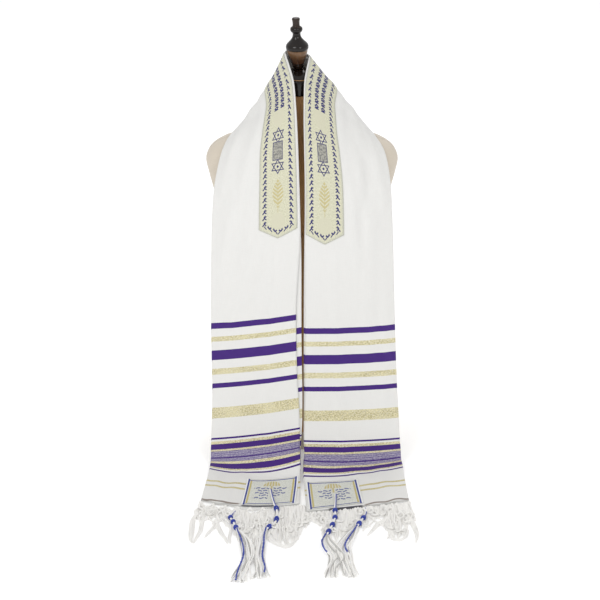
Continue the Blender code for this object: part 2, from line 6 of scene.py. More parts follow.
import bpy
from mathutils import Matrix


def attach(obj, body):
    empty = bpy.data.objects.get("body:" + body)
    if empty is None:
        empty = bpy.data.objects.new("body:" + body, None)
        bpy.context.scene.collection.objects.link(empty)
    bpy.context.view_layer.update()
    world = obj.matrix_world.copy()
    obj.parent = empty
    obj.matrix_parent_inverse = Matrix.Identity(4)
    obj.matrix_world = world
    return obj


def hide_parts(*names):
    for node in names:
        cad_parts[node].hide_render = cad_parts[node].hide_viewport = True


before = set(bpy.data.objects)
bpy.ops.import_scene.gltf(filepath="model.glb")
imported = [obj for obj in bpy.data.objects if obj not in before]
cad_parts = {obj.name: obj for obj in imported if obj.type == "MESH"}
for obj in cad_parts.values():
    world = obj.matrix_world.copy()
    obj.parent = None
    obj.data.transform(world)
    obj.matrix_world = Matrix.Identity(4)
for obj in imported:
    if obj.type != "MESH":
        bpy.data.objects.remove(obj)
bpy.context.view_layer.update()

import math
import random
from functools import partialmethod

import bpy
import numpy as np
from bpy.props import FloatProperty, FloatVectorProperty, IntProperty, PointerProperty
from mathutils import Vector

bl_info = {
    "name": "Prayer Scarf on a Dress Form",
    "version": (1, 0, 0),
    "blender": (4, 5, 0),
    "location": "View3D > Sidebar > Prayer Scarf",
    "description": "Makes a folded prayer scarf, its trims and the dress form that it hangs on",
    "category": "Add Mesh",
}

# The cloth's cut, and how it is folded.
SCARF_LENGTH = 2.04
BAND_WIDTH = 0.173
LAYER_PITCH = 0.0024
BACK_LAYER_SHORTFALL = 0.022
CLOTH_WALL = 0.0010
LYING_HEIGHT = 2 * LAYER_PITCH + CLOTH_WALL / 2

# The neckband and the corner patches.
LEFT_MARGIN = 0.0060
RIGHT_MARGIN = 0.0018
NECKBAND_WIDTH = 0.074
NECKBAND_TIP_FROM_HEM = 0.592
NECKBAND_POINT = 0.018
NECKBAND_LENGTH = SCARF_LENGTH - 2 * NECKBAND_TIP_FROM_HEM
PATCH_WIDTH = 0.095
PATCH_LENGTH = 0.094
TRIM_LIFT = 0.0013
PATCH_LIFT = 0.0016

# How many faces across and along each sheet's grid has.
CLOTH_GRID = (84, 340)
NECKBAND_GRID = (18, 220)
PATCH_GRID = (40, 42)

# Each patch's four corners, as (from the hem, across from the neck edge): the hem's inner and
# outer corner, then the upper inner and outer corner.
LEFT_PATCH_CORNERS = ((0.0030, 0.0085), (0.0030, 0.1030), (0.0945, 0.0035), (0.0945, 0.0985))
RIGHT_PATCH_CORNERS = ((0.0030, 0.0040), (0.0090, 0.0965), (0.1030, 0.0030), (0.1000, 0.0920))

# The drape, from each hem up to the centre of the back: one row for each section across the band.
# Columns: distance from the hem; the neck edge's x, y, z; the outer edge's x, y, z;
# how far the middle is pushed along x, y and z; how far the inner fold peeps past the neck edge.
LEFT_DRAPE = (
    (0.0, -0.003, -0.326, LYING_HEIGHT, -0.187, -0.313, LYING_HEIGHT, 0.0, -0.017, 0.0, -0.002),
    (0.055, -0.003, -0.271, 0.006, -0.182, -0.258, LYING_HEIGHT, 0.0, -0.015, 0.0, -0.001),
    (0.1, -0.003, -0.229, 0.0145, -0.178, -0.213, 0.006, 0.0, -0.014, -0.003, 0.0),
    (0.125, -0.003, -0.212, 0.032, -0.176, -0.188, 0.0075, 0.0, -0.011, -0.009, 0.0),
    (0.15, -0.004, -0.198, 0.0485, -0.175, -0.165, 0.0095, 0.0, -0.009, -0.002, 0.001),
    (0.17, -0.004, -0.194, 0.0675, -0.175, -0.152, 0.023, 0.0, -0.007, 0.0, 0.002),
    (0.197, -0.004, -0.19, 0.092, -0.174, -0.147, 0.0475, 0.0, -0.006, 0.0, 0.003),
    (0.25, -0.006, -0.178, 0.1405, -0.172, -0.137, 0.099, 0.0, -0.006, 0.0, 0.006),
    (0.303, -0.009, -0.165, 0.188, -0.171, -0.129, 0.151, 0.0, -0.005, 0.0, 0.009),
    (0.423, -0.011, -0.148, 0.302, -0.172, -0.112, 0.268, 0.0, -0.006, 0.0, 0.01),
    (0.61, -0.003, -0.129, 0.475, -0.169, -0.084, 0.455, 0.0, -0.01, 0.0, 0.0),
    (0.7, -0.005, -0.113, 0.56, -0.164, -0.067, 0.528, 0.0, -0.011, 0.002, -0.002),
    (0.76, -0.007, -0.099, 0.618, -0.157, -0.053, 0.566, -0.001, -0.007, 0.003, -0.003),
    (0.82, -0.01, -0.078, 0.678, -0.147, -0.035, 0.598, 0.002, -0.002, 0.004, -0.004),
    (0.875, -0.015, -0.054, 0.731, -0.138, -0.016, 0.611, 0.006, 0.001, 0.0, -0.005),
    (0.935, -0.031, 0.0, 0.772, -0.126, 0.006, 0.618, 0.007, 0.002, -0.003, -0.006),
    (0.975, -0.026, 0.026, 0.768, -0.098, 0.078, 0.61, 0.005, 0.003, 0.0, -0.006),
    (1.02, -0.009, 0.036, 0.76, -0.009, 0.12, 0.604, 0.0, 0.004, 0.002, -0.006),
)
RIGHT_DRAPE = (
    (0.0, 0.008, -0.355, LYING_HEIGHT, 0.198, -0.313, LYING_HEIGHT, 0.0, -0.003, 0.0, -0.002),
    (0.055, 0.006, -0.3, LYING_HEIGHT, 0.195, -0.258, LYING_HEIGHT, 0.0, -0.004, 0.0, -0.001),
    (0.1, 0.004, -0.256, 0.0085, 0.193, -0.213, 0.007, 0.0, -0.005, -0.0015, 0.0),
    (0.125, 0.003, -0.232, 0.016, 0.192, -0.188, 0.011, 0.0, -0.006, -0.005, 0.0),
    (0.15, 0.003, -0.21, 0.0265, 0.19, -0.166, 0.0125, 0.0, -0.008, -0.003, 0.0),
    (0.17, 0.005, -0.202, 0.044, 0.189, -0.158, 0.029, 0.0, -0.007, 0.0, 0.0),
    (0.197, 0.004, -0.196, 0.068, 0.187, -0.155, 0.053, 0.0, -0.006, 0.0, 0.0),
    (0.25, 0.005, -0.181, 0.115, 0.184, -0.141, 0.103, 0.0, -0.005, 0.0, 0.001),
    (0.303, 0.005, -0.167, 0.1625, 0.181, -0.129, 0.152, 0.0, -0.005, 0.0, 0.001),
    (0.423, 0.006, -0.151, 0.275, 0.176, -0.112, 0.266, 0.0, -0.006, 0.0, 0.002),
    (0.61, 0.005, -0.13, 0.462, 0.17, -0.084, 0.45, 0.0, -0.01, 0.0, 0.0),
    (0.7, 0.005, -0.113, 0.552, 0.166, -0.067, 0.528, -0.001, -0.011, 0.002, -0.002),
    (0.76, 0.004, -0.099, 0.612, 0.161, -0.053, 0.566, -0.004, -0.007, 0.003, -0.003),
    (0.82, 0.003, -0.078, 0.672, 0.153, -0.035, 0.594, -0.007, -0.002, 0.004, -0.004),
    (0.875, 0.004, -0.054, 0.727, 0.1415, -0.016, 0.6085, -0.006, 0.0, 0.002, -0.005),
    (0.935, 0.013, 0.0, 0.763, 0.125, 0.006, 0.62, -0.0005, 0.002, 0.001, -0.006),
    (0.975, 0.008, 0.026, 0.762, 0.092, 0.078, 0.611, 0.0, 0.003, 0.0, -0.006),
)

# Soft folds of the cloth: both ends as (distance from the left hem, distance from the neck edge),
# the half width and the height.
SOFT_FOLDS = (
    (0.2, 0.06, 0.52, 0.05, 0.01, 0.0016), (0.44, 0.128, 0.54, 0.092, 0.013, 0.003),
    (0.46, 0.082, 0.56, 0.066, 0.014, -0.0022), (0.55, 0.15, 0.66, 0.136, 0.012, 0.0034),
    (0.57, 0.118, 0.68, 0.106, 0.01, -0.003), (0.66, 0.12, 0.8, 0.1, 0.012, 0.0034),
    (0.7, 0.155, 0.86, 0.14, 0.01, 0.0032), (0.78, 0.086, 0.96, 0.094, 0.011, 0.0024),
    (0.84, 0.13, 1.0, 0.118, 0.011, 0.0028), (0.02, 0.13, 0.1, 0.112, 0.012, 0.0026),
    (0.01, 0.158, 0.08, 0.152, 0.009, 0.002), (0.1, 0.1, 0.17, 0.06, 0.014, 0.002),
    (1.0, 0.15, 1.08, 0.146, 0.009, 0.0024), (0.96, 0.07, 1.1, 0.066, 0.01, 0.0018),
    (1.06, 0.118, 1.22, 0.128, 0.011, 0.0026), (1.1, 0.09, 1.28, 0.084, 0.012, 0.0022),
    (1.18, 0.146, 1.36, 0.156, 0.01, 0.0026), (1.26, 0.108, 1.4, 0.122, 0.011, 0.002),
    (1.3, 0.132, 1.42, 0.112, 0.011, -0.0032), (1.36, 0.092, 1.46, 0.1, 0.012, 0.0026),
    (1.42, 0.128, 1.66, 0.118, 0.015, 0.0022), (1.5, 0.056, 1.84, 0.066, 0.011, 0.0014),
    (1.56, 0.156, 1.8, 0.146, 0.01, 0.0018), (1.88, 0.07, 1.94, 0.11, 0.013, 0.002),
    (1.94, 0.132, 2.02, 0.15, 0.012, 0.0026),
)

# The dress form: height, half width, depth in front of the axis, depth behind it.
FORM_SECTIONS = (
    (0.0, 0.158, 0.098, 0.1), (0.004, 0.162, 0.102, 0.104), (0.06, 0.168, 0.108, 0.112),
    (0.15, 0.152, 0.098, 0.098), (0.24, 0.138, 0.088, 0.082), (0.33, 0.146, 0.096, 0.088),
    (0.42, 0.158, 0.104, 0.096), (0.5, 0.166, 0.098, 0.098), (0.54, 0.1755, 0.09, 0.097),
    (0.566, 0.1805, 0.08, 0.092), (0.586, 0.174, 0.071, 0.086), (0.6, 0.159, 0.064, 0.079),
    (0.607, 0.143, 0.06, 0.073), (0.612, 0.123, 0.057, 0.068), (0.621, 0.1, 0.054, 0.061),
    (0.637, 0.075, 0.051, 0.054), (0.658, 0.052, 0.046, 0.047), (0.68, 0.042, 0.041, 0.042),
    (0.697, 0.037, 0.037, 0.037),
)
FORM_SIDES = 144

# The turned neck cap and finial: radius and height along the turning axis, top first.
NECK_TOP = 0.697
POST_X = -0.005
POST_LEAN = math.radians(2.6)
CAP_PROFILE = (
    (0.01, 0.7406), (0.019, 0.738), (0.027, 0.7335), (0.032, 0.7294), (0.0328, 0.7284), (0.033, 0.7278),
    (0.033, 0.7268), (0.0334, 0.7263), (0.0358, 0.7256), (0.0367, 0.7249), (0.0372, 0.7236),
    (0.0372, 0.6998), (0.037, 0.6986), (0.036, 0.6975), (0.028, 0.6974),
)
FINIAL_PROFILE = (
    (0.003, 0.838), (0.0056, 0.8377), (0.007, 0.8368), (0.0077, 0.8352), (0.0075, 0.8334),
    (0.0067, 0.8322), (0.0065, 0.826), (0.0067, 0.8222), (0.0076, 0.8212), (0.0102, 0.82),
    (0.0114, 0.818), (0.0116, 0.815), (0.0108, 0.8122), (0.0086, 0.8102), (0.0074, 0.809),
    (0.0072, 0.8055), (0.008, 0.802), (0.0096, 0.7985), (0.014, 0.7935), (0.0186, 0.7895),
    (0.0208, 0.786), (0.0212, 0.7835), (0.021, 0.779), (0.0202, 0.7782), (0.0193, 0.7776),
    (0.0188, 0.7715), (0.0163, 0.765), (0.0139, 0.7585), (0.0119, 0.753), (0.0107, 0.748),
    (0.0102, 0.7415),
)

# Knotted tassels at the four corners: the knotted cord's x, y, z and radius, the places that the
# loose strands pass, how wide they lie, which side they lean to, which one is blue and how far.
TASSELS = {
    "tassel_outer_left": (
        (
            (-0.1236, -0.3557, 0.0044, 0.0014), (-0.1286, -0.3718, 0.0058, 0.002),
            (-0.1301, -0.3833, 0.0072, 0.0034), (-0.1277, -0.3893, 0.0062, 0.0022),
            (-0.1247, -0.3991, 0.0071, 0.0034), (-0.1221, -0.4075, 0.0062, 0.0022),
            (-0.119, -0.4204, 0.0072, 0.0036), (-0.1164, -0.4314, 0.0064, 0.0026),
        ),
        (
            (-0.109, -0.4637, 0.0062), (-0.1023, -0.5174, 0.0044), (-0.1038, -0.5634, 0.003),
            (-0.108, -0.6024, 0.002),
        ),
        0.015, 0.8, 2, 1.0,
    ),
    "tassel_inner_left": (
        (
            (-0.059, -0.2798, 0.0095, 0.0016), (-0.055, -0.3139, 0.01, 0.0018),
            (-0.0504, -0.3411, 0.0106, 0.0024), (-0.047, -0.353, 0.0098, 0.0035),
            (-0.0455, -0.3668, 0.0064, 0.0022), (-0.0465, -0.3919, 0.0072, 0.0036),
            (-0.0508, -0.4038, 0.0062, 0.0022), (-0.0594, -0.4176, 0.0073, 0.0037),
            (-0.0656, -0.4288, 0.0066, 0.0026),
        ),
        (
            (-0.0703, -0.468, 0.0066), (-0.0706, -0.5149, 0.005), (-0.071, -0.5566, 0.003),
            (-0.0718, -0.5889, 0.002),
        ),
        0.0136, -0.7, 7, 0.95,
    ),
    "tassel_inner_right": (
        (
            (0.0622, -0.2998, 0.0095, 0.0016), (0.0616, -0.3293, 0.01, 0.0018),
            (0.0609, -0.3495, 0.0106, 0.0024), (0.0606, -0.3628, 0.0104, 0.0034),
            (0.0608, -0.3706, 0.0072, 0.0022), (0.0601, -0.3839, 0.0073, 0.0036),
            (0.0581, -0.3957, 0.0062, 0.0022), (0.055, -0.4108, 0.0072, 0.0036),
            (0.0513, -0.4215, 0.0062, 0.0022), (0.0477, -0.4352, 0.0073, 0.0037),
            (0.0441, -0.4492, 0.0066, 0.0028),
        ),
        (
            (0.0385, -0.4752, 0.0066), (0.0443, -0.5008, 0.005), (0.055, -0.5265, 0.0036),
            (0.0565, -0.5559, 0.0026), (0.0529, -0.5872, 0.002),
        ),
        0.0153, 1.5, 0, 0.5,
    ),
    "tassel_outer_right": (
        (
            (0.1151, -0.3443, 0.0044, 0.0014), (0.1169, -0.3586, 0.0052, 0.0018),
            (0.1155, -0.3717, 0.0062, 0.0022), (0.1116, -0.3846, 0.0071, 0.0036),
            (0.1076, -0.3934, 0.0062, 0.0022), (0.1033, -0.4054, 0.0071, 0.0036),
            (0.0991, -0.4167, 0.0064, 0.0026),
        ),
        (
            (0.0921, -0.4536, 0.0066), (0.0806, -0.4937, 0.005), (0.0785, -0.5296, 0.0034),
            (0.085, -0.5856, 0.002),
        ),
        0.0135, -1.4, 6, 0.66,
    ),
}

TASSEL_SEED = 50
LOOSE_STRANDS = 10
PLY_RADIUS = 0.0011
PLY_LAY = 0.0008
PLY_TURN = 0.0085
KNOT_RADIUS = 0.0029
COIL_TURNS = 4.5
COIL_POINTS = 90

# Fringe: the knotted net's cells and rows.
HEM_SPLAY = (0.02, 0.10)
NET_CELLS = 8
NET_STRIP = 0.004
NET_ROW = 0.023
NET_HEIGHT = 0.0026
YARN_RADIUS = 0.0008
LEFT_SEED = 11
RIGHT_SEED = 23
LOCK_STEPS = (0.0, 0.18, 0.36, 0.54, 0.72, 0.88, 1.0)
# Locks on the floor: how many yarns, the lock's width, then its way from the net to the tip.
LEFT_LOCKS = (
    (
        7, 0.0085, (-0.1925, -0.3584), (-0.1993, -0.3884), (-0.1996, -0.4217), (-0.1994, -0.4508),
        (-0.1961, -0.467),
    ),
    (
        6, 0.0065, (-0.181, -0.3697), (-0.1821, -0.3959), (-0.1837, -0.4217), (-0.1894, -0.4472),
        (-0.1938, -0.467),
    ),
    (5, 0.006, (-0.1529, -0.3884), (-0.1595, -0.407), (-0.1677, -0.4272), (-0.175, -0.4465)),
    (
        6, 0.0075, (-0.1577, -0.381), (-0.1522, -0.407), (-0.145, -0.4327), (-0.1371, -0.4526),
        (-0.133, -0.4688),
    ),
    (
        5, 0.005, (-0.1386, -0.3791), (-0.1317, -0.3977), (-0.1286, -0.4217), (-0.13, -0.4472),
        (-0.1282, -0.4688),
    ),
    (5, 0.006, (-0.1239, -0.3847), (-0.1212, -0.4144), (-0.1159, -0.4436), (-0.1107, -0.4688)),
    (
        7, 0.0085, (-0.06, -0.448), (-0.0482, -0.466), (-0.0374, -0.476), (-0.0293, -0.48),
        (-0.0214, -0.474), (-0.0125, -0.459), (-0.006, -0.438),
    ),
)
RIGHT_LOCKS = (
    (6, 0.0085, (0.1495, -0.3828), (0.1399, -0.3959), (0.1293, -0.4162), (0.1178, -0.4392)),
    (
        7, 0.0085, (0.1942, -0.3622), (0.2, -0.3884), (0.2045, -0.4125), (0.2064, -0.44),
        (0.2036, -0.4652),
    ),
    (4, 0.0045, (0.1602, -0.3884), (0.1587, -0.418), (0.1564, -0.44), (0.1514, -0.4537)),
    (3, 0.005, (0.1225, -0.3697), (0.1182, -0.3922), (0.1101, -0.4235)),
    (
        4, 0.0055, (0.159, -0.438), (0.1629, -0.453), (0.1737, -0.456), (0.1828, -0.449),
        (0.1886, -0.44), (0.1935, -0.418),
    ),
    (3, 0.005, (0.0075, -0.395), (0.0127, -0.386), (0.0182, -0.383), (0.0273, -0.392), (0.033, -0.406)),
)
# Masses of yarn: their lower edge's places on the floor, and how many locks fill them.
LEFT_MASSES = (
    (
        30, (-0.1246, -0.4217), (-0.1145, -0.4617), (-0.098, -0.476), (-0.0821, -0.4688),
        (-0.0671, -0.4581), (-0.0596, -0.4599), (-0.0482, -0.4724), (-0.0374, -0.4789),
        (-0.0293, -0.486), (-0.0214, -0.4796), (-0.0125, -0.4652), (-0.0048, -0.4472), (0.002, -0.4429),
        (0.0036, -0.42),
    ),
    (
        9, (-0.195, -0.37), (-0.1857, -0.38), (-0.1766, -0.378), (-0.1678, -0.374), (-0.1565, -0.382),
        (-0.1473, -0.386), (-0.1382, -0.385), (-0.1287, -0.4),
    ),
)
RIGHT_MASSES = (
    (
        26, (0.0069, -0.3996), (0.0127, -0.3884), (0.0182, -0.384), (0.0273, -0.394), (0.0335, -0.4088),
        (0.0411, -0.4617), (0.0769, -0.4617), (0.0897, -0.4508), (0.0971, -0.44), (0.1049, -0.4144),
        (0.1126, -0.3996), (0.1203, -0.3828), (0.1259, -0.3791),
    ),
    (
        10, (0.1259, -0.373), (0.1403, -0.379), (0.1493, -0.383), (0.158, -0.39), (0.1781, -0.39),
        (0.1964, -0.382),
    ),
    (
        9, (0.1571, -0.4472), (0.1629, -0.4581), (0.1737, -0.4581), (0.1828, -0.4526),
        (0.1886, -0.4454), (0.1935, -0.4217), (0.1965, -0.3996),
    ),
)

# The lights: place, target, width and power.
LIGHTS = (
    ("key_light", (-1.6, -2.6, 2.6), (0.0, -0.1, 0.35), 1.8, 34.0),
    ("fill_light", (1.5, -2.5, 2.1), (0.0, -0.1, 0.45), 0.75, 15.0),
    ("back_light", (0.3, 2.2, 2.4), (0.0, 0.0, 0.5), 1.8, 16.0),
)
SKY_STRENGTH = 0.78
CAMERA_PLACE = (0.0, -3.8, 1.9)
CAMERA_TARGET = (0.0, -0.13, 0.33)


def table_slopes(knots, values):
    """The slope of each column at each row, kept flat where a column stops rising or falling."""
    steps = np.diff(knots)[:, None]
    secants = np.diff(values, axis=0) / steps
    before, after = secants[:-1], secants[1:]
    same_way = before * after > 0
    early, late = 2 * steps[1:] + steps[:-1], steps[1:] + 2 * steps[:-1]
    shares = early / np.where(same_way, before, 1.0) + late / np.where(same_way, after, 1.0)
    return np.vstack([secants[:1], np.where(same_way, (early + late) / shares, 0.0), secants[-1:]])


class SmoothTable:
    """A table of given rows, read at any place between them."""

    def __init__(self, knots, values):
        self.knots = np.array(knots, float)
        self.values = np.array(values, float)
        self.slopes = table_slopes(self.knots, self.values)

    @classmethod
    def keyed(cls, rows):
        """A table whose rows start with their own place."""
        return cls([row[0] for row in rows], [row[1:] for row in rows])

    def at(self, places):
        places = np.atleast_1d(np.asarray(places, float))
        i = np.clip(np.searchsorted(self.knots, places, side="right") - 1, 0, len(self.knots) - 2)
        step = (self.knots[i + 1] - self.knots[i])[:, None]
        t = (places - self.knots[i])[:, None] / step
        start = (1 + 2 * t) * (1 - t) ** 2 * self.values[i] + t * (1 - t) ** 2 * step * self.slopes[i]
        end = t * t * (3 - 2 * t) * self.values[i + 1] + t * t * (t - 1) * step * self.slopes[i + 1]
        return start + end


DRAPE = SmoothTable.keyed(
    LEFT_DRAPE + tuple((SCARF_LENGTH - row[0], *row[1:]) for row in reversed(RIGHT_DRAPE))
)


def smooth_path(points, steps):
    """Points on a smooth curve through given ones, with `steps` stretches between each pair."""
    table = SmoothTable(range(len(points)), points)
    return table.at(np.arange((len(points) - 1) * steps + 1) / steps)


def drape_point(along, across):
    """The front layer's middle, `along` from the left hem and `across` from the neck edge."""
    row = DRAPE.at(along)
    share = (across / BAND_WIDTH)[:, None]
    return row[:, 0:3] * (1 - share) + row[:, 3:6] * share + row[:, 6:9] * 4 * share * (1 - share)


def drape_normal(along, across):
    """The front layer's outward direction."""
    step = 0.001
    along = np.clip(along, step, SCARF_LENGTH - step)
    lengthwise = drape_point(along + step, across) - drape_point(along - step, across)
    widthwise = drape_point(along, across + step) - drape_point(along, across - step)
    normal = np.cross(lengthwise, widthwise)
    return normal / np.linalg.norm(normal, axis=1)[:, None]


def soft_relief(along, across):
    """How far the soft folds stand out from the plain drape."""
    height = np.zeros_like(along)
    for from_along, from_across, to_along, to_across, spread, rise in SOFT_FOLDS:
        run_along, run_across = to_along - from_along, to_across - from_across
        share = (along - from_along) * run_along + (across - from_across) * run_across
        share = np.clip(share / (run_along**2 + run_across**2), 0, 1)
        away_along = (along - from_along - share * run_along) * 0.35
        away_across = across - from_across - share * run_across
        height += rise * np.exp(-(away_along**2 + away_across**2) / spread**2)
    return height


def cloth_surface(along, across, out):
    """A place on the draped cloth, `out` from the front layer's middle."""
    along = np.asarray(along, float)
    across = np.asarray(across, float)
    lift = out + soft_relief(along, across)
    return drape_point(along, across) + drape_normal(along, across) * lift[:, None]


def fold_section(share, peep):
    """Where a share of the cut's width lies once it is folded: across, out, and the cut's own width."""
    radius = LAYER_PITCH / 2
    turn = math.pi * radius
    none = np.zeros_like(peep)
    lengths = [
        none + BAND_WIDTH - radius, none + turn, BAND_WIDTH - 2 * radius + peep, none + turn,
        BAND_WIDTH - BACK_LAYER_SHORTFALL + peep - radius,
    ]
    starts = np.cumsum([none] + lengths, axis=0)
    # Shares of the columns that go to the front layer, each turn and the two hidden layers.
    marks = np.array((0.0, 0.46, 0.53, 0.73, 0.80, 1.0))
    zone = np.clip(np.searchsorted(marks, share, side="right") - 1, 0, 4)
    part = (share - marks[zone]) / (marks[zone + 1] - marks[zone])
    chosen = np.choose(zone, lengths)
    width = np.choose(zone, list(starts[:5])) + part * chosen
    angle = np.pi * part
    across = np.choose(zone, [
        part * (BAND_WIDTH - radius),
        BAND_WIDTH - radius + radius * np.sin(angle),
        BAND_WIDTH - radius - part * chosen,
        -peep + radius - radius * np.sin(angle),
        -peep + radius + part * chosen,
    ])
    round_turn = radius * np.cos(angle) - radius
    layers = (none, round_turn, none - LAYER_PITCH, round_turn - LAYER_PITCH, none - 2 * LAYER_PITCH)
    return across, np.choose(zone, layers), width


class Thread:
    """A shader socket that takes part in sums."""

    def __init__(self, finish, socket):
        self.finish = finish
        self.socket = socket

    def math(self, operation, *others):
        return self.finish.node("Math", {"operation": operation}, dict(enumerate((self, *others))))

    most = partialmethod(math, "MAXIMUM")
    least = partialmethod(math, "MINIMUM")
    __add__ = __radd__ = partialmethod(math, "ADD")
    __sub__ = partialmethod(math, "SUBTRACT")
    __mul__ = __rmul__ = partialmethod(math, "MULTIPLY")
    __truediv__ = partialmethod(math, "DIVIDE")
    __mod__ = partialmethod(math, "FLOORED_MODULO")
    __lt__ = partialmethod(math, "LESS_THAN")
    __abs__ = partialmethod(math, "ABSOLUTE")

    def __rsub__(self, other):
        return self.finish.node("Math", {"operation": "SUBTRACT"}, {0: other, 1: self})

    def rise(self, low, high):
        """0 below one value, 1 above another, smooth between them."""
        settings = {"interpolation_type": "SMOOTHSTEP"}
        return self.finish.node("MapRange", settings, {0: self, 1: low, 2: high, 3: 0.0, 4: 1.0})

    def fall(self, low, high):
        """1 below one value, 0 above another, smooth between them."""
        return 1 - self.rise(low, high)

    def line(self, middle, half_width, edge=0.0002):
        """1 on a line of the given half width, 0 away from it."""
        return abs(self - middle).fall(half_width - edge, half_width + edge)

    def between(self, low, high, edge=0.0004):
        """1 from one value to another, 0 outside them."""
        return self.rise(low - edge, low + edge) * self.fall(high - edge, high + edge)

    def wave(self, pitch):
        """A sine wave that repeats at each pitch."""
        return (self * (2 * math.pi / pitch)).math("SINE")


class Finish:
    """A material under construction."""

    def __init__(self, name):
        self.material = bpy.data.materials.new(name)
        self.material.use_nodes = True
        self.tree = self.material.node_tree
        self.tree.nodes.clear()

    def node(self, kind, settings=None, values=None, output=0):
        made = self.tree.nodes.new("ShaderNode" + kind)
        for name, value in (settings or {}).items():
            if name == "stops":
                self.set_stops(made.color_ramp, value)
            else:
                setattr(made, name, value)
        for key, value in (values or {}).items():
            target = made.inputs[key]
            if isinstance(value, Thread):
                self.tree.links.new(value.socket, target)
            else:
                target.default_value = value
        return Thread(self, made.outputs[output])

    def set_stops(self, ramp, stops):
        ramp.interpolation = "CONSTANT"
        while len(ramp.elements) > 1:
            ramp.elements.remove(ramp.elements[-1])
        for number, (place, level) in enumerate(stops):
            stop = ramp.elements[0] if number == 0 else ramp.elements.new(place)
            stop.position = place
            stop.color = (level, level, level, 1.0)

    def mix(self, factor, first, second):
        """The second colour over the first, each a link or three numbers."""
        first, second = (
            colour if isinstance(colour, Thread) else (*colour, 1.0) for colour in (first, second)
        )
        return self.node("Mix", {"data_type": "RGBA"}, {0: factor, 6: first, 7: second}, output=2)

    def noise(self, where, scale, detail=2.0, roughness=0.5):
        values = {"Vector": where, "Scale": scale, "Detail": detail, "Roughness": roughness}
        return self.node("TexNoise", None, values)

    def threads(self, where, scale, detail=2.0, roughness=0.5):
        """Noise drawn out into threads, with how many to a metre each way."""
        stretched = self.node("Mapping", None, {"Vector": where, "Scale": scale})
        return self.noise(stretched, 1.0, detail, roughness)

    def split(self, where):
        first = self.node("SeparateXYZ", None, {0: where})
        node = first.socket.node
        return first, Thread(self, node.outputs[1]), Thread(self, node.outputs[2])

    def flat(self):
        """The piece's flat cut, in metres."""
        return self.node("TexCoord", None, None, output="UV")

    def place(self):
        return self.node("TexCoord", None, None, output="Object")

    def bump(self, height, distance, strength=1.0):
        values = {"Strength": strength, "Distance": distance, "Height": height}
        return self.node("Bump", None, values)

    def shader(self, **values):
        """The surface, with its sockets named in words joined by underscores."""
        named = {key.replace("_", " "): value for key, value in values.items()}
        surface = self.node("BsdfPrincipled", None, named)
        end = self.tree.nodes.new("ShaderNodeOutputMaterial")
        self.tree.links.new(surface.socket, end.inputs["Surface"])
        return self.material


def joined(masks):
    """1 where any of the masks is."""
    first, *others = masks
    for mask in others:
        first = first.most(mask)
    return first


# Stripes across each end, as (start, end) in millimetres from the hem.
PURPLE_STRIPES = (
    (118.8, 122.8), (130, 142), (155, 158), (173, 185.5), (195, 198.6), (298, 308.5), (354.5, 373.5),
    (417.5, 428),
)
GOLD_STRIPES = (
    (56, 61), (74, 79), (126, 130), (142, 146.5), (168, 173), (185.5, 190.5), (237, 259), (326, 337.5),
    (392, 400.5),
)
LAVENDER_STRIPES = ((146.5, 155), (158, 168))
STRIPE_REACH = 500


def stripe_mask(finish, from_hem, stripes):
    stops = [(0.0, 0.0)]
    for start, end in stripes:
        stops += [(start / STRIPE_REACH, 1.0), (end / STRIPE_REACH, 0.0)]
    return finish.node("ValToRGB", {"stops": stops}, {0: from_hem * (1000 / STRIPE_REACH)})


def weave_height(u, v, pitch):
    """Threads over and under, one pitch apart both ways."""
    return u.wave(pitch) * v.wave(pitch)


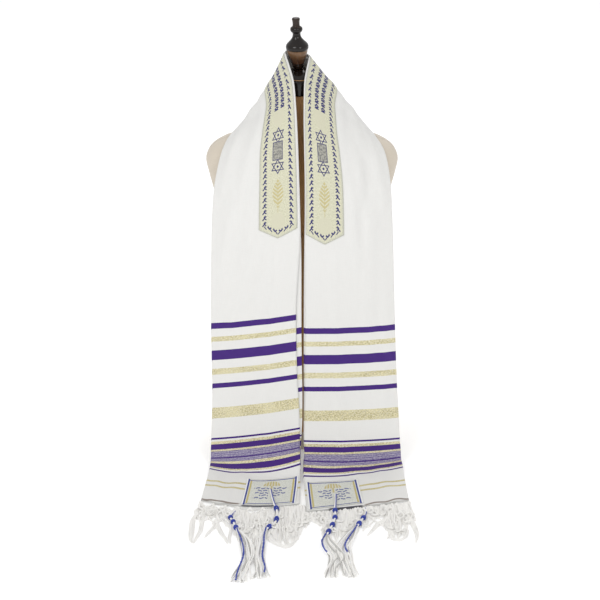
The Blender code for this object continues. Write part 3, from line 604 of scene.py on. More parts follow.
def scarf_finish(settings):
    finish = Finish("woven_scarf_cloth")
    flat = finish.flat()
    u, v, _ = finish.split(flat)
    weft = finish.threads(flat, (60, 1600, 1))
    warp = finish.threads(flat, (1500, 50, 1))
    slub = finish.threads(flat, (260, 260, 1), 3.0)
    from_hem = v.least(SCARF_LENGTH - v) + (warp - 0.5) * 0.0007
    kinds = (PURPLE_STRIPES, GOLD_STRIPES, LAVENDER_STRIPES)
    purple, gold, lavender = (stripe_mask(finish, from_hem, stripes) for stripes in kinds)
    white = finish.mix(weft * 0.5 + warp * 0.5, settings.cloth_shade, settings.cloth_white)
    tinsel = finish.threads(flat, (300, 560, 1), 2.0, 0.7)
    speckle = tinsel.rise(0.42, 0.55)
    patchy = finish.threads(flat, (26, 60, 1)).rise(0.35, 0.65)
    gold_yarn = finish.mix(speckle * (0.38 + patchy * 0.35), settings.gold_light, settings.gold_dark)
    pale_grain = finish.threads(flat, (300, 640, 1), 1.0).rise(0.55, 0.68)
    inner_stripes = from_hem.rise(0.090, 0.095)
    gold_yarn = finish.mix(pale_grain * 0.45 * inner_stripes, gold_yarn, settings.cloth_white)
    gold_yarn = finish.mix((1 - inner_stripes) * 0.5, gold_yarn, settings.motif_gold)
    fine = (v.wave(0.0032) * 0.5 + 0.5) * 0.45 + (weft - 0.5) + (tinsel - 0.5) * 2.4 + 0.27
    lavender_yarn = finish.mix(fine, settings.lavender_dark, settings.lavender_light)
    purple_yarn = finish.mix(weft, settings.purple_dark, settings.purple_light)
    colour = white
    for stripes, yarn in ((gold, gold_yarn), (lavender, lavender_yarn), (purple, purple_yarn)):
        colour = finish.mix(stripes, colour, yarn)
    # The hem's dark line, partly a hem thread and partly painted shade under the rolled edge, shows
    # only outside the patches, where the edge waves.
    x, _, _ = finish.split(finish.place())
    ripple = (x * 150.0).math("SINE") * 0.0016 + finish.threads(flat, (40, 40, 1), 1.0) * 0.004
    hem = v.least(SCARF_LENGTH - v).line(ripple + 0.0026, 0.0028, 0.0006)
    front_layer = u.fall(BAND_WIDTH, BAND_WIDTH + 0.002)
    hem = hem * abs(x).rise(0.112, 0.120) * front_layer
    colour = finish.mix(hem * (0.80 + slub * 0.2), colour, settings.hem_thread_and_shade)
    # Painted shadow: a near-black strip along the hem under the patches, standing in for the shade in
    # the gap below each patch's edge.
    beside = abs(x).between(0.050, 0.112, 0.003) * from_hem.fall(0.0020, 0.0028)
    colour = finish.mix(beside * 0.9, colour, settings.painted_hem_shadow)
    weave = weave_height(u, v, 0.0011)
    height = weave * 0.35 + weft * 0.3 + warp * 0.3 + slub * 0.25 + gold * tinsel * 0.5
    height = height + purple * 0.35 + hem * 0.8
    rough = 0.78 - gold * speckle * 0.38 - purple * 0.12
    return finish.shader(
        Base_Color=colour, Roughness=rough, Normal=finish.bump(height, 0.0005, 0.55),
        Sheen_Weight=0.15, Sheen_Roughness=0.5, Specular_IOR_Level=0.3,
    )


def oval_reach(x, y, half_width, half_height):
    """0 at an oval's middle and 1 on its outline."""
    return (x / half_width).math("POWER", 2.0) + (y / half_height).math("POWER", 2.0)


def lozenge(x, y, half_width, half_height, hollow=0.0):
    """A small woven diamond, hollow where asked."""
    reach = abs(x) / half_width + abs(y) / half_height
    shape = reach.fall(0.85, 1.1)
    if hollow:
        shape = shape * reach.rise(hollow - 0.1, hollow + 0.1)
    return shape


def star_outline(x, y, reach, half_line):
    """A six-pointed star drawn as two crossed triangles."""
    triangles = []
    for turn in (90, -90):
        angles = [math.radians(turn + 60 + 120 * k) for k in range(3)]
        side = joined(x * math.cos(angle) + y * math.sin(angle) for angle in angles)
        triangles.append(side.line(reach / 2, half_line))
    return joined(triangles)


def grain_ear(x, y, low, high, half_width, pitch):
    """A gold ear of grain: paired grains up a stem, in a pointed outline."""
    middle, half = (low + high) / 2, (high - low) / 2
    t = (y - middle) / half
    outline = (1 - t * t) * half_width - abs(x)
    inside = outline.rise(0.0, 0.0005)
    grain = ((y - abs(x) * 0.9) % pitch) / pitch
    grain = grain.fall(0.50, 0.62)
    stem = x.line(0.0, 0.0005) * y.between(low - half * 0.3, high)
    return (inside * grain).most(stem)


# The neckband's motifs: how far the border lies from the edge, then places from each point's tip.
BORDER_INSET = 0.01075
STAR_PLACES = (0.142, 0.201)
STAR_REACH = 0.0135
PANEL_ENDS = (0.1545, 0.1895)
EAR_ENDS = (0.060, 0.118)
SMOOTH_OVALS = ((0.036, 0.016), (0.236, 0.019))
ORNAMENT_START = 0.252
ORNAMENT_STEP = 0.0112
ORNAMENT_COLUMN = 0.0078
# A border sprig's strokes: start and end, each along and across the border, and the half width.
SPRIG_STROKES = (
    ((-0.0046, -0.003), (-0.0006, 0.0002), 0.00112), ((-0.0006, 0.0002), (-0.0032, 0.0032), 0.00112),
    ((0.0008, -0.0006), (0.004, 0.0016), 0.00102), ((0.001, 0.001), (0.0028, 0.0036), 0.00092),
)


def stitched_stroke(x, y, start, end, half_width):
    """1 within half_width of the line from start to end."""
    way = (end[0] - start[0], end[1] - start[1])
    share = ((x - start[0]) * way[0] + (y - start[1]) * way[1]) * (1 / (way[0] ** 2 + way[1] ** 2))
    share = share.most(0.0).least(1.0)
    away_x, away_y = x - start[0] - share * way[0], y - start[1] - share * way[1]
    away = (away_x * away_x + away_y * away_y).math("SQRT")
    return away.fall(half_width - 0.0003, half_width + 0.0003)


def neckband_finish(settings):
    finish = Finish("neckband_brocade")
    flat = finish.flat()
    u, v, _ = finish.split(flat)
    x = u - NECKBAND_WIDTH / 2
    y = v.least(NECKBAND_LENGTH - v)
    half = NECKBAND_WIDTH / 2
    slant = math.hypot(half, NECKBAND_POINT)
    from_side = half - abs(x)
    from_end = (y - abs(x) * (NECKBAND_POINT / half)) * (half / slant)
    ends = from_end < from_side
    from_edge = from_side.least(from_end)
    travel = finish.node("Mix", {"data_type": "FLOAT"}, {0: ends, 2: y, 3: abs(x) * (slant / half)})
    # Leaf border: small sprigs along a line that runs round the edge.
    pitch = settings.border_pitch
    aside = from_edge - BORDER_INSET
    step = travel % pitch - pitch / 2
    motifs = [stitched_stroke(step, aside, *stroke) for stroke in SPRIG_STROKES]
    for centre in STAR_PLACES:
        motifs.append(star_outline(x, y - centre, STAR_REACH, 0.0008))
        motifs.append(lozenge(x, y - centre, 0.0026, 0.0032))
    # Two columns of small woven diamonds and bars.
    column = abs(abs(x) - ORNAMENT_COLUMN)
    beat = (y - ORNAMENT_START) % ORNAMENT_STEP - ORNAMENT_STEP / 2
    diamonds = lozenge(column, beat, 0.0058, 0.0051, hollow=0.27)
    bars = column.fall(0.0044, 0.0050)
    bars = bars * beat.line(0.0013 - ORNAMENT_STEP / 2, 0.0014)
    motifs.append(diamonds.most(bars) * y.between(ORNAMENT_START, NECKBAND_LENGTH))
    navy = joined(motifs)
    low, high = PANEL_ENDS
    panel = abs(x).fall(0.0101, 0.0109) * y.between(low, high)
    inside = abs(x).fall(0.0088, 0.0096) * y.between(low + 0.0015, high - 0.0015)
    panel_edge = panel * (1 - inside)
    gold = grain_ear(x, y, *EAR_ENDS, 0.0110, 0.0074)
    # The cream ground: a fine diaper weave, smooth in the ovals between the motifs.
    weave = weave_height(u, v, 0.0012)
    diaper = (u + v).wave(0.0052) * (u - v).wave(0.0052)
    ovals = (oval_reach(x, y - centre, 0.014, tall) for centre, tall in SMOOTH_OVALS)
    smooth = joined(oval.fall(0.8, 1.1) for oval in ovals)
    fibres = finish.threads(flat, (900, 300, 1))
    mottled = finish.threads(flat, (430, 430, 1), 1.0)
    tone = (diaper * 0.34 + (mottled - 0.5) * 1.6) * (1 - smooth) + fibres * 0.5 + 0.28
    ground = finish.mix(tone, settings.ground_dark, settings.ground_light)
    ground = finish.mix(smooth * 0.5, ground, settings.ground_smooth)
    edge = from_edge.fall(0.0012, 0.0020)
    edge = edge * 0.25 + from_edge.line(0.0030, 0.0005) * 0.25
    ground = finish.mix(edge, ground, settings.edge_thread)
    panel_grain = finish.threads(flat, (330, 250, 1), 3.0, 0.6).rise(0.32, 0.68)
    grey = finish.mix(panel_grain, settings.panel_dark, settings.panel_light)
    broken = 0.80 + fibres * 0.4
    colour = finish.mix((navy * broken * (1 - panel)).least(1.0), ground, settings.navy)
    colour = finish.mix(gold * 0.72, colour, settings.motif_gold)
    colour = finish.mix(panel, colour, grey)
    colour = finish.mix(panel_edge * 0.85, colour, settings.navy)
    height = weave * 0.25 + diaper * 0.35 * (1 - smooth) + navy * 0.8 + gold * 0.8 + panel * 0.4
    return finish.shader(
        Base_Color=colour, Roughness=0.62 - gold * 0.22 - smooth * 0.12,
        Normal=finish.bump(height + fibres * 0.3, 0.0004, 0.6),
        Sheen_Weight=0.15, Specular_IOR_Level=0.4,
    )


# Rows of leaves on a patch: how far up, and how far to the left and the right.
LEAF_ROWS = (
    (0.024, 0.004, 0.03), (0.034, 0.017, 0.02), (0.043, 0.027, 0.028), (0.052, 0.02, 0.024),
    (0.061, 0.029, 0.031),
)
FAN_FOOT = 0.069


def patch_finish(settings):
    finish = Finish("patch_satin")
    flat = finish.flat()
    u, v, _ = finish.split(flat)
    x = u - PATCH_WIDTH / 2
    fibres = finish.threads(flat, (300, 1200, 1))
    cloudy = finish.noise(flat, 60.0, 2.0)
    specks = finish.threads(flat, (420, 420, 1), 1.0)
    tone = fibres * 0.4 + cloudy * 0.35 + (specks - 0.5) * 1.5 + 0.12
    ground = finish.mix(tone, settings.patch_dark, settings.patch_light)
    side = PATCH_WIDTH / 2 - abs(x)
    border = side.fall(0.0027, 0.0033)
    ground = finish.mix(border, ground, settings.patch_border)
    royal = side.line(0.0042, 0.0015)
    for level in (0.0036, PATCH_LENGTH - 0.0046):
        royal = royal.most(v.line(level, 0.0011) * side.rise(0.004, 0.005))
    gold_line = side.line(0.0086, 0.0015) * v.between(0.004, PATCH_LENGTH - 0.006)
    # Rows of small blue leaves either side of the hole, and a gold fan of grain above it.
    rows = []
    for level, left_reach, right_reach in LEAF_ROWS:
        leaves = (v + x.wave(0.0130) * 0.0016 - x * 0.05).line(level, 0.0021, 0.0006)
        gaps = abs((x + level * 7) % 0.0096 - 0.0048).rise(0.0006, 0.0012)
        rows.append(leaves * gaps * x.between(-left_reach, right_reach))
    rows = joined(rows) * abs(x).rise(0.0035, 0.0045)
    fan = oval_reach(x, v - FAN_FOOT, 0.0155, 0.0165).fall(0.9, 1.1)
    fan = fan * v.rise(FAN_FOOT - 0.0005, FAN_FOOT + 0.0005)
    ribs = abs((x + (v - FAN_FOOT) * x * 14.0) % 0.0056 - 0.0028)
    fan = fan * ribs.fall(0.0017, 0.0022)
    gold = fan.most(x.line(0.0, 0.0016) * v.between(0.052, FAN_FOOT + 0.0005))
    blue, gilt = settings.royal_blue, settings.motif_gold
    colour = ground
    for mask, thread in ((royal, blue), (gold_line, gilt), (rows * 0.85, blue), (gold * 0.9, gilt)):
        colour = finish.mix(mask, colour, thread)
    weave = weave_height(u, v, 0.0009)
    height = fibres * 0.5 + weave * 0.2 + royal * 0.6 + gold * 0.7 + rows * 0.5
    return finish.shader(
        Base_Color=colour, Roughness=0.50 - gold * 0.15,
        Normal=finish.bump(height, 0.0003, 0.6), Sheen_Weight=0.1, Specular_IOR_Level=0.45,
    )


def linen_finish(settings):
    finish = Finish("form_linen")
    place = finish.place()
    x, y, z = finish.split(place)
    warp = finish.threads(place, (1300, 1300, 90))
    weft = finish.threads(place, (90, 90, 1500))
    wear = finish.noise(place, 9.0, 3.0)
    colour = finish.mix(warp * 0.5 + weft * 0.5, settings.linen_dark, settings.linen_light)
    colour = finish.mix(wear * 0.22, colour, settings.linen_worn)
    seam = x.line(0.0, 0.0007).most(y.line(0.0, 0.0007))
    stitch = (z % 0.006).line(0.003, 0.0020)
    beside = abs(x).line(0.0032, 0.0004).most(abs(y).line(0.0032, 0.0004))
    colour = finish.mix(seam * 0.5 + beside * stitch * 0.35, colour, settings.linen_seam)
    # A tan strip down the front: partly a front tape and partly painted shade, its brown standing in
    # for the warm shade seen between the scarf's ends.
    tape_and_shade = abs(x).fall(0.0115, 0.0125) * (y < -0.01) * z.rise(0.04, 0.045)
    twill = (x + z).wave(0.0018) * 0.5 + 0.5
    tape_and_shade_yarn = finish.mix(twill * 0.6 + warp * 0.4, settings.tape_and_shade_dark, settings.tape_and_shade_light)
    colour = finish.mix(tape_and_shade, colour, tape_and_shade_yarn)
    height = warp * 0.5 + weft * 0.5 - seam * 1.6 - beside * stitch * 0.6
    return finish.shader(
        Base_Color=colour, Roughness=0.86, Normal=finish.bump(height, 0.0006, 0.6),
        Sheen_Weight=0.2, Specular_IOR_Level=0.25,
    )


def wood_finish(settings):
    finish = Finish("dark_turned_wood")
    place = finish.place()
    x, y, z = finish.split(place)
    grain = finish.threads(place, (210, 210, 34), 4.0, 0.6)
    pores = finish.threads(place, (1100, 1100, 90))
    # The goblet and the knob are red-brown, the goblet more so towards its rim.
    goblet = z.between(0.7520, 0.7775, 0.0010)
    rim = goblet * z.rise(0.7560, 0.7765)
    knob = z.between(0.8205, 0.8500, 0.0006) * 0.25
    # Turned beads below the goblet.
    beads = z.between(0.7400, 0.7520, 0.0005) * (z.wave(0.0045) * 0.5 + 0.5)
    groove = z.line(0.7273, 0.0007)
    red = finish.mix(grain.rise(0.35, 0.65), settings.goblet_dark, settings.goblet_light)
    black = finish.mix(grain.rise(0.45, 0.8), settings.wood_dark, settings.wood_light)
    colour = finish.mix(goblet.most(knob), black, red)
    colour = finish.mix(rim * 0.3, colour, settings.groove_gold)
    colour = finish.mix(beads * 0.25, colour, settings.goblet_light)
    colour = finish.mix(groove, colour, settings.groove_gold)
    height = grain * 0.5 + pores * 0.2 + beads * 6.0
    return finish.shader(
        Base_Color=colour, Roughness=0.34 + pores * 0.12, Normal=finish.bump(height, 0.0002, 0.3),
        Coat_Weight=0.7, Coat_Roughness=0.07, Specular_IOR_Level=0.02,
    )


def yarn_finish(name, light, dark, roughness):
    finish = Finish(name)
    place = finish.place()
    fibre = finish.threads(place, (900, 500, 900), 3.0)
    cloudy = finish.noise(place, 45.0, 2.0)
    colour = finish.mix(fibre * 0.6 + cloudy * 0.4, dark, light)
    return finish.shader(
        Base_Color=colour, Roughness=roughness, Normal=finish.bump(fibre, 0.0004, 0.6),
        Sheen_Weight=0.3, Sheen_Roughness=0.5, Specular_IOR_Level=0.25,
    )


def deselect_all():
    if bpy.context.mode != "OBJECT":
        bpy.ops.object.mode_set(mode="OBJECT")
    bpy.ops.object.select_all(action="DESELECT")


def named(name):
    made = bpy.context.object
    made.name = name
    made.data.name = name
    return made


def apply_modifier(made, kind, **settings):
    modifier = made.modifiers.new(kind.lower(), kind)
    for name, value in settings.items():
        setattr(modifier, name, value)
    bpy.context.view_layer.objects.active = made
    bpy.ops.object.modifier_apply(modifier=modifier.name)


def finished(made, materials, slot, *nodes):
    """Smooth shading, materials, body, and hides the nodes that the piece stands for; `slot` is not
    used.
    """
    for material in materials:
        made.data.materials.append(material)
    made.data.shade_smooth()
    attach(made, "root")
    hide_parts(*nodes)


def mesh_points(mesh):
    points = np.empty(len(mesh.vertices) * 3)
    mesh.vertices.foreach_get("co", points)
    return points.reshape(-1, 3)


def set_mesh_points(mesh, points):
    mesh.vertices.foreach_set("co", points.ravel())
    mesh.update()


def open_whole():
    """Open the active mesh in edit mode, with all of it selected."""
    bpy.ops.object.mode_set(mode="EDIT")
    bpy.ops.mesh.select_all(action="SELECT")


def close_outwards():
    """Point the selected faces outwards and leave edit mode."""
    bpy.ops.mesh.normals_make_consistent(inside=False)
    bpy.ops.object.mode_set(mode="OBJECT")


def cloth_piece(name, columns, rows, lay, wall):
    """A grid laid out by a function of its two shares, with the flat cut as its UV map."""
    deselect_all()
    bpy.ops.mesh.primitive_grid_add(x_subdivisions=columns, y_subdivisions=rows, size=1.0)
    made = named(name)
    mesh = made.data
    spots = mesh_points(mesh)
    points, flat = lay(0.5 - spots[:, 0], spots[:, 1] + 0.5)
    corners = np.empty(len(mesh.loops), dtype=np.int32)
    mesh.loops.foreach_get("vertex_index", corners)
    mesh.uv_layers[0].data.foreach_set("uv", flat[corners].ravel())
    set_mesh_points(mesh, points)
    apply_modifier(made, "SOLIDIFY", thickness=wall, offset=0.0)
    return made


def cord_piece(name, strands, *materials):
    """Round strands, each as (points, radii, material number), drawn as one curve and made a mesh."""
    deselect_all()
    bpy.ops.curve.primitive_bezier_curve_add()
    made = named(name)
    curve = made.data
    for material in materials:
        curve.materials.append(material)
    curve.splines.clear()
    curve.dimensions = "3D"
    curve.bevel_depth = 1.0
    curve.bevel_resolution = 1
    curve.use_fill_caps = True
    for points, radii, number in strands:
        spline = curve.splines.new("POLY")
        spline.points.add(len(points) - 1)
        wide = np.column_stack([points, np.ones(len(points))])
        spline.points.foreach_set("co", wide.ravel())
        spline.points.foreach_set("radius", np.broadcast_to(radii, len(points)).astype(float))
        spline.material_index = number
        spline.use_smooth = True
    bpy.ops.object.convert(target="MESH")
    return named(name)


def path_frames(points):
    """Two directions square to a path at each of its points, turned as little as can be."""
    way = np.gradient(points, axis=0)
    way /= np.linalg.norm(way, axis=1)[:, None]
    side = np.zeros_like(way)
    start = np.cross(way[0], (0.0, 0.0, 1.0))
    if np.linalg.norm(start) < 0.1:
        start = np.cross(way[0], (0.0, 1.0, 0.0))
    side[0] = start / np.linalg.norm(start)
    for i in range(1, len(way)):
        turned = side[i - 1] - way[i] * np.dot(side[i - 1], way[i])
        side[i] = turned / np.linalg.norm(turned)
    return side, np.cross(way, side)


def twisted(points, plies, lay_radius, ply_radius, turn_length, start=0.0, number=0):
    """Plies wound round a path, in the material of the number."""
    side, up = path_frames(points)
    run = np.concatenate([[0.0], np.cumsum(np.linalg.norm(np.diff(points, axis=0), axis=1))])
    lay = np.broadcast_to(lay_radius, len(points))[:, None]
    strands = []
    for k in range(plies):
        angle = 2 * math.pi * (run / turn_length + k / plies) + start
        offset = side * np.cos(angle)[:, None] + up * np.sin(angle)[:, None]
        strands.append((points + offset * lay, ply_radius, number))
    return strands


def random_turn(chance):
    return chance.uniform(0, 6.3)


def tint(name, description, default):
    return FloatVectorProperty(name=name, description=description, default=default, subtype="COLOR")


def size(name, description, default, least):
    measure = {"unit": "LENGTH", "subtype": "DISTANCE"}
    return FloatProperty(name=name, description=description, default=default, min=least, **measure)


class ScarfSettings(bpy.types.PropertyGroup):
    """Sizes and colours of the scarf's pieces."""

    cloth_wall: size("Cloth thickness", "Thickness of the scarf's woven cloth", 0.0009, 0.0003)
    trim_wall: size("Trim thickness", "Thickness of the neckband and the patches", 0.0009, 0.0003)
    border_pitch: size(
        "Border pitch", "Distance from leaf to leaf along the neckband's border", 0.0120, 0.004,
    )
    cloth_white: tint("Cloth white", "Lighter colour of the white ground", (0.79, 0.785, 0.765))
    cloth_shade: tint("Cloth shade", "Darker colour of the white ground", (0.68, 0.675, 0.655))
    purple_light: tint("Purple, light", "Lighter colour of the purple stripes", (0.062, 0.013, 0.215))
    purple_dark: tint("Purple, dark", "Darker colour of the purple stripes", (0.028, 0.005, 0.120))
    gold_light: tint("Gold yarn, light", "Lighter colour of the gold stripes", (0.73, 0.675, 0.44))
    gold_dark: tint("Gold yarn, dark", "Darker colour of the gold stripes", (0.30, 0.25, 0.10))
    lavender_light: tint("Lavender, light", "Lighter colour of lavender stripes", (0.42, 0.39, 0.48))
    lavender_dark: tint("Lavender, dark", "Darker colour of the lavender stripes", (0.10, 0.07, 0.215))
    # The hem line: partly a hem thread and partly painted shade under the rolled edge.
    hem_thread_and_shade: tint("Hem thread", "Colour of the line along each hem", (0.20, 0.16, 0.135))
    # Painted shadow along the hem under the patches.
    painted_hem_shadow: tint(
        "Hem shadow", "Colour of the hem's strip that shows below the patches", (0.035, 0.033, 0.060),
    )
    ground_light: tint("Brocade, light", "Lighter colour of the neckband's ground", (0.69, 0.68, 0.535))
    ground_dark: tint("Brocade, dark", "Darker colour of the neckband's ground", (0.48, 0.47, 0.325))
    ground_smooth: tint("Brocade, smooth", "Colour of the neckband's smooth ovals", (0.58, 0.56, 0.43))
    edge_thread: tint("Edge thread", "Colour of the neckband's edge stitching", (0.38, 0.42, 0.52))
    panel_light: tint("Panel, light", "Lighter colour of the neckband's grey panel", (0.42, 0.41, 0.35))
    panel_dark: tint("Panel, dark", "Darker colour of the neckband's grey panel", (0.15, 0.15, 0.15))
    navy: tint("Navy", "Colour of the neckband's woven motifs", (0.013, 0.014, 0.130))
    motif_gold: tint("Motif gold", "Colour of the gold motifs and lines", (0.48, 0.40, 0.145))
    patch_light: tint("Patch, light", "Lighter colour of the corner patches", (0.76, 0.77, 0.71))
    patch_dark: tint("Patch, dark", "Darker colour of the corner patches", (0.46, 0.47, 0.42))
    patch_border: tint("Patch border", "Colour of the corner patches' side borders", (0.84, 0.84, 0.82))
    royal_blue: tint(
        "Royal blue", "Colour of the corner patches' lines and leaves", (0.016, 0.032, 0.235),
    )
    yarn_light: tint(
        "Fringe yarn, light", "Lighter colour of the fringe and white strands", (0.93, 0.92, 0.90),
    )
    yarn_dark: tint(
        "Fringe yarn, dark", "Darker colour of the fringe and white strands", (0.80, 0.785, 0.75),
    )
    # Grey strands: painted shade that stands in for the crevices between the tassel cords.
    yarn_painted_shade: tint(
        "Tassel yarn, shaded", "Colour of the tassels' darker white strands", (0.52, 0.51, 0.49),
    )
    thread_blue: tint("Tassel blue", "Colour of the tassels' blue thread", (0.026, 0.065, 0.46))
    thread_navy: tint("Tassel navy", "Darker colour of the tassels' blue thread", (0.012, 0.020, 0.20))


class FormSettings(bpy.types.PropertyGroup):
    """Sizes and colours of the dress form, its neck post and the stage."""

    turning_steps: IntProperty(
        name="Turning steps", description="Faces round the neck cap and the finial",
        default=48, min=12, max=128,
    )
    floor_reach: size("Floor reach", "Half the width of the floor", 9.0, 1.0)
    linen_light: tint("Linen, light", "Lighter colour of the form's linen", (0.635, 0.575, 0.485))
    linen_dark: tint("Linen, dark", "Darker colour of the form's linen", (0.50, 0.435, 0.35))
    linen_worn: tint("Linen, worn", "Colour of the linen where it is rubbed", (0.76, 0.70, 0.62))
    linen_seam: tint("Linen seam", "Colour in the form's seams", (0.34, 0.27, 0.20))
    # The front strip: partly a tape and partly painted shade, for the warm shade between the scarf's
    # ends.
    tape_and_shade_light: tint(
        "Front tape, light", "Lighter colour of the tape down the form's front", (0.66, 0.38, 0.17),
    )
    tape_and_shade_dark: tint(
        "Front tape, dark", "Darker colour of the tape down the form's front", (0.42, 0.22, 0.090),
    )
    wood_dark: tint("Wood, dark", "Darker colour of the neck post", (0.006, 0.004, 0.003))
    wood_light: tint("Wood, light", "Lighter colour of the neck post", (0.015, 0.009, 0.006))
    goblet_dark: tint("Goblet, dark", "Darker colour of the finial's lower part", (0.045, 0.020, 0.010))
    goblet_light: tint(
        "Goblet, light", "Lighter colour of the finial's lower part", (0.075, 0.036, 0.018),
    )
    groove_gold: tint("Groove", "Colour in the cap's groove", (0.36, 0.20, 0.09))
    floor_white: tint("Floor", "Colour of the floor", (0.92, 0.92, 0.92))


class PRAYERSCARF_OT_cloth(bpy.types.Operator):
    """Lay the striped cloth, folded lengthwise in three, round the form's neck"""

    bl_idname = "prayer_scarf.cloth"
    bl_label = "Striped Cloth"

    def lay(self, share_across, share_along):
        along = share_along * SCARF_LENGTH
        peep = DRAPE.at(along)[:, 9]
        across, out, width = fold_section(share_across, peep)
        # The left end's hidden layers slip down behind the front one, most at the chest.
        hidden = np.clip(-out / LAYER_PITCH, 0.0, 1.0)
        slip = 0.008 + 0.024 * np.exp(-(((along - 0.34) / 0.16) ** 2))
        slip = slip * hidden * np.clip((0.70 - along) / 0.20, 0.0, 1.0)
        # The middle layer shows in front of the left hem, beside the patch.
        middle_layer = np.exp(-(((out + LAYER_PITCH) / 0.0012) ** 2))
        bulge = np.exp(-(((across - 0.085) / 0.022) ** 2) - (along / 0.06) ** 2)
        points = cloth_surface(along - 0.012 * middle_layer * bulge, across, out)
        return points, np.column_stack([width, along + slip])

    def execute(self, context):
        settings = context.scene.prayer_scarf
        made = cloth_piece("prayer_scarf", *CLOTH_GRID, self.lay, settings.cloth_wall)
        finished(
            made, [scarf_finish(settings)], "scarf_cloth",
            "scarf_left_end", "scarf_neck_stretch", "scarf_right_end",
        )
        return {"FINISHED"}


class PRAYERSCARF_OT_neckband(bpy.types.Operator):
    """Lay the woven neckband along the neck edge, pointed at both ends"""

    bl_idname = "prayer_scarf.neckband"
    bl_label = "Neckband"

    def lay(self, share_across, share_along):
        inset = np.abs(2 * share_across - 1) * NECKBAND_POINT
        length = NECKBAND_LENGTH - 2 * inset
        flat_along = inset + share_along * length
        flat_across = share_across * NECKBAND_WIDTH
        share = flat_along / NECKBAND_LENGTH
        across = LEFT_MARGIN * (1 - share) + RIGHT_MARGIN * share + flat_across
        points = cloth_surface(NECKBAND_TIP_FROM_HEM + flat_along, across, TRIM_LIFT)
        return points, np.column_stack([flat_across, flat_along])

    def execute(self, context):
        settings = context.scene.prayer_scarf
        made = cloth_piece("neckband_trim", *NECKBAND_GRID, self.lay, settings.trim_wall)
        finished(made, [neckband_finish(settings)], "brocade", "neckband")
        return {"FINISHED"}


class PRAYERSCARF_OT_patches(bpy.types.Operator):
    """Lay a square patch on the inner corner of each lying end"""

    bl_idname = "prayer_scarf.patches"
    bl_label = "Corner Patches"

    def execute(self, context):
        settings = context.scene.prayer_scarf
        satin = patch_finish(settings)
        for name, node, from_left, corners in (
            ("left_patch", "corner_patch_left", True, LEFT_PATCH_CORNERS),
            ("right_patch", "corner_patch_right", False, RIGHT_PATCH_CORNERS),
        ):
            hem_inner, hem_outer, upper_inner, upper_outer = np.array(corners)

            def lay(share_across, share_along):
                over = (share_across if from_left else 1 - share_across)[:, None]
                up = share_along[:, None]
                low = hem_inner * (1 - over) + hem_outer * over
                high = upper_inner * (1 - over) + upper_outer * over
                from_hem, across = (low * (1 - up) + high * up).T
                along = from_hem if from_left else SCARF_LENGTH - from_hem
                flat = np.column_stack([over[:, 0] * PATCH_WIDTH, share_along * PATCH_LENGTH])
                return cloth_surface(along, across, PATCH_LIFT), flat

            made = cloth_piece(name, *PATCH_GRID, lay, settings.trim_wall)
            finished(made, [satin], "patch_satin", node)
        return {"FINISHED"}


def hem_line(left):
    """The hem's places on the floor, from the neck edge outwards."""
    across = np.linspace(0.0, BAND_WIDTH, 41)
    return drape_point(np.full(41, 0.0 if left else SCARF_LENGTH), across)


def hem_place(left, share, beyond):
    """A place on the floor, `share` across the hem from the neck edge and `beyond` in front of it."""
    line = hem_line(left)
    shares = np.linspace(0.0, 1.0, len(line))
    start = np.array([np.interp(share, shares, line[:, axis]) for axis in (0, 1)])
    side = -1 if left else 1
    splay = side * (HEM_SPLAY[0] + HEM_SPLAY[1] * share)
    return start + np.array((splay, -1.0)) / math.hypot(splay, 1.0) * beyond


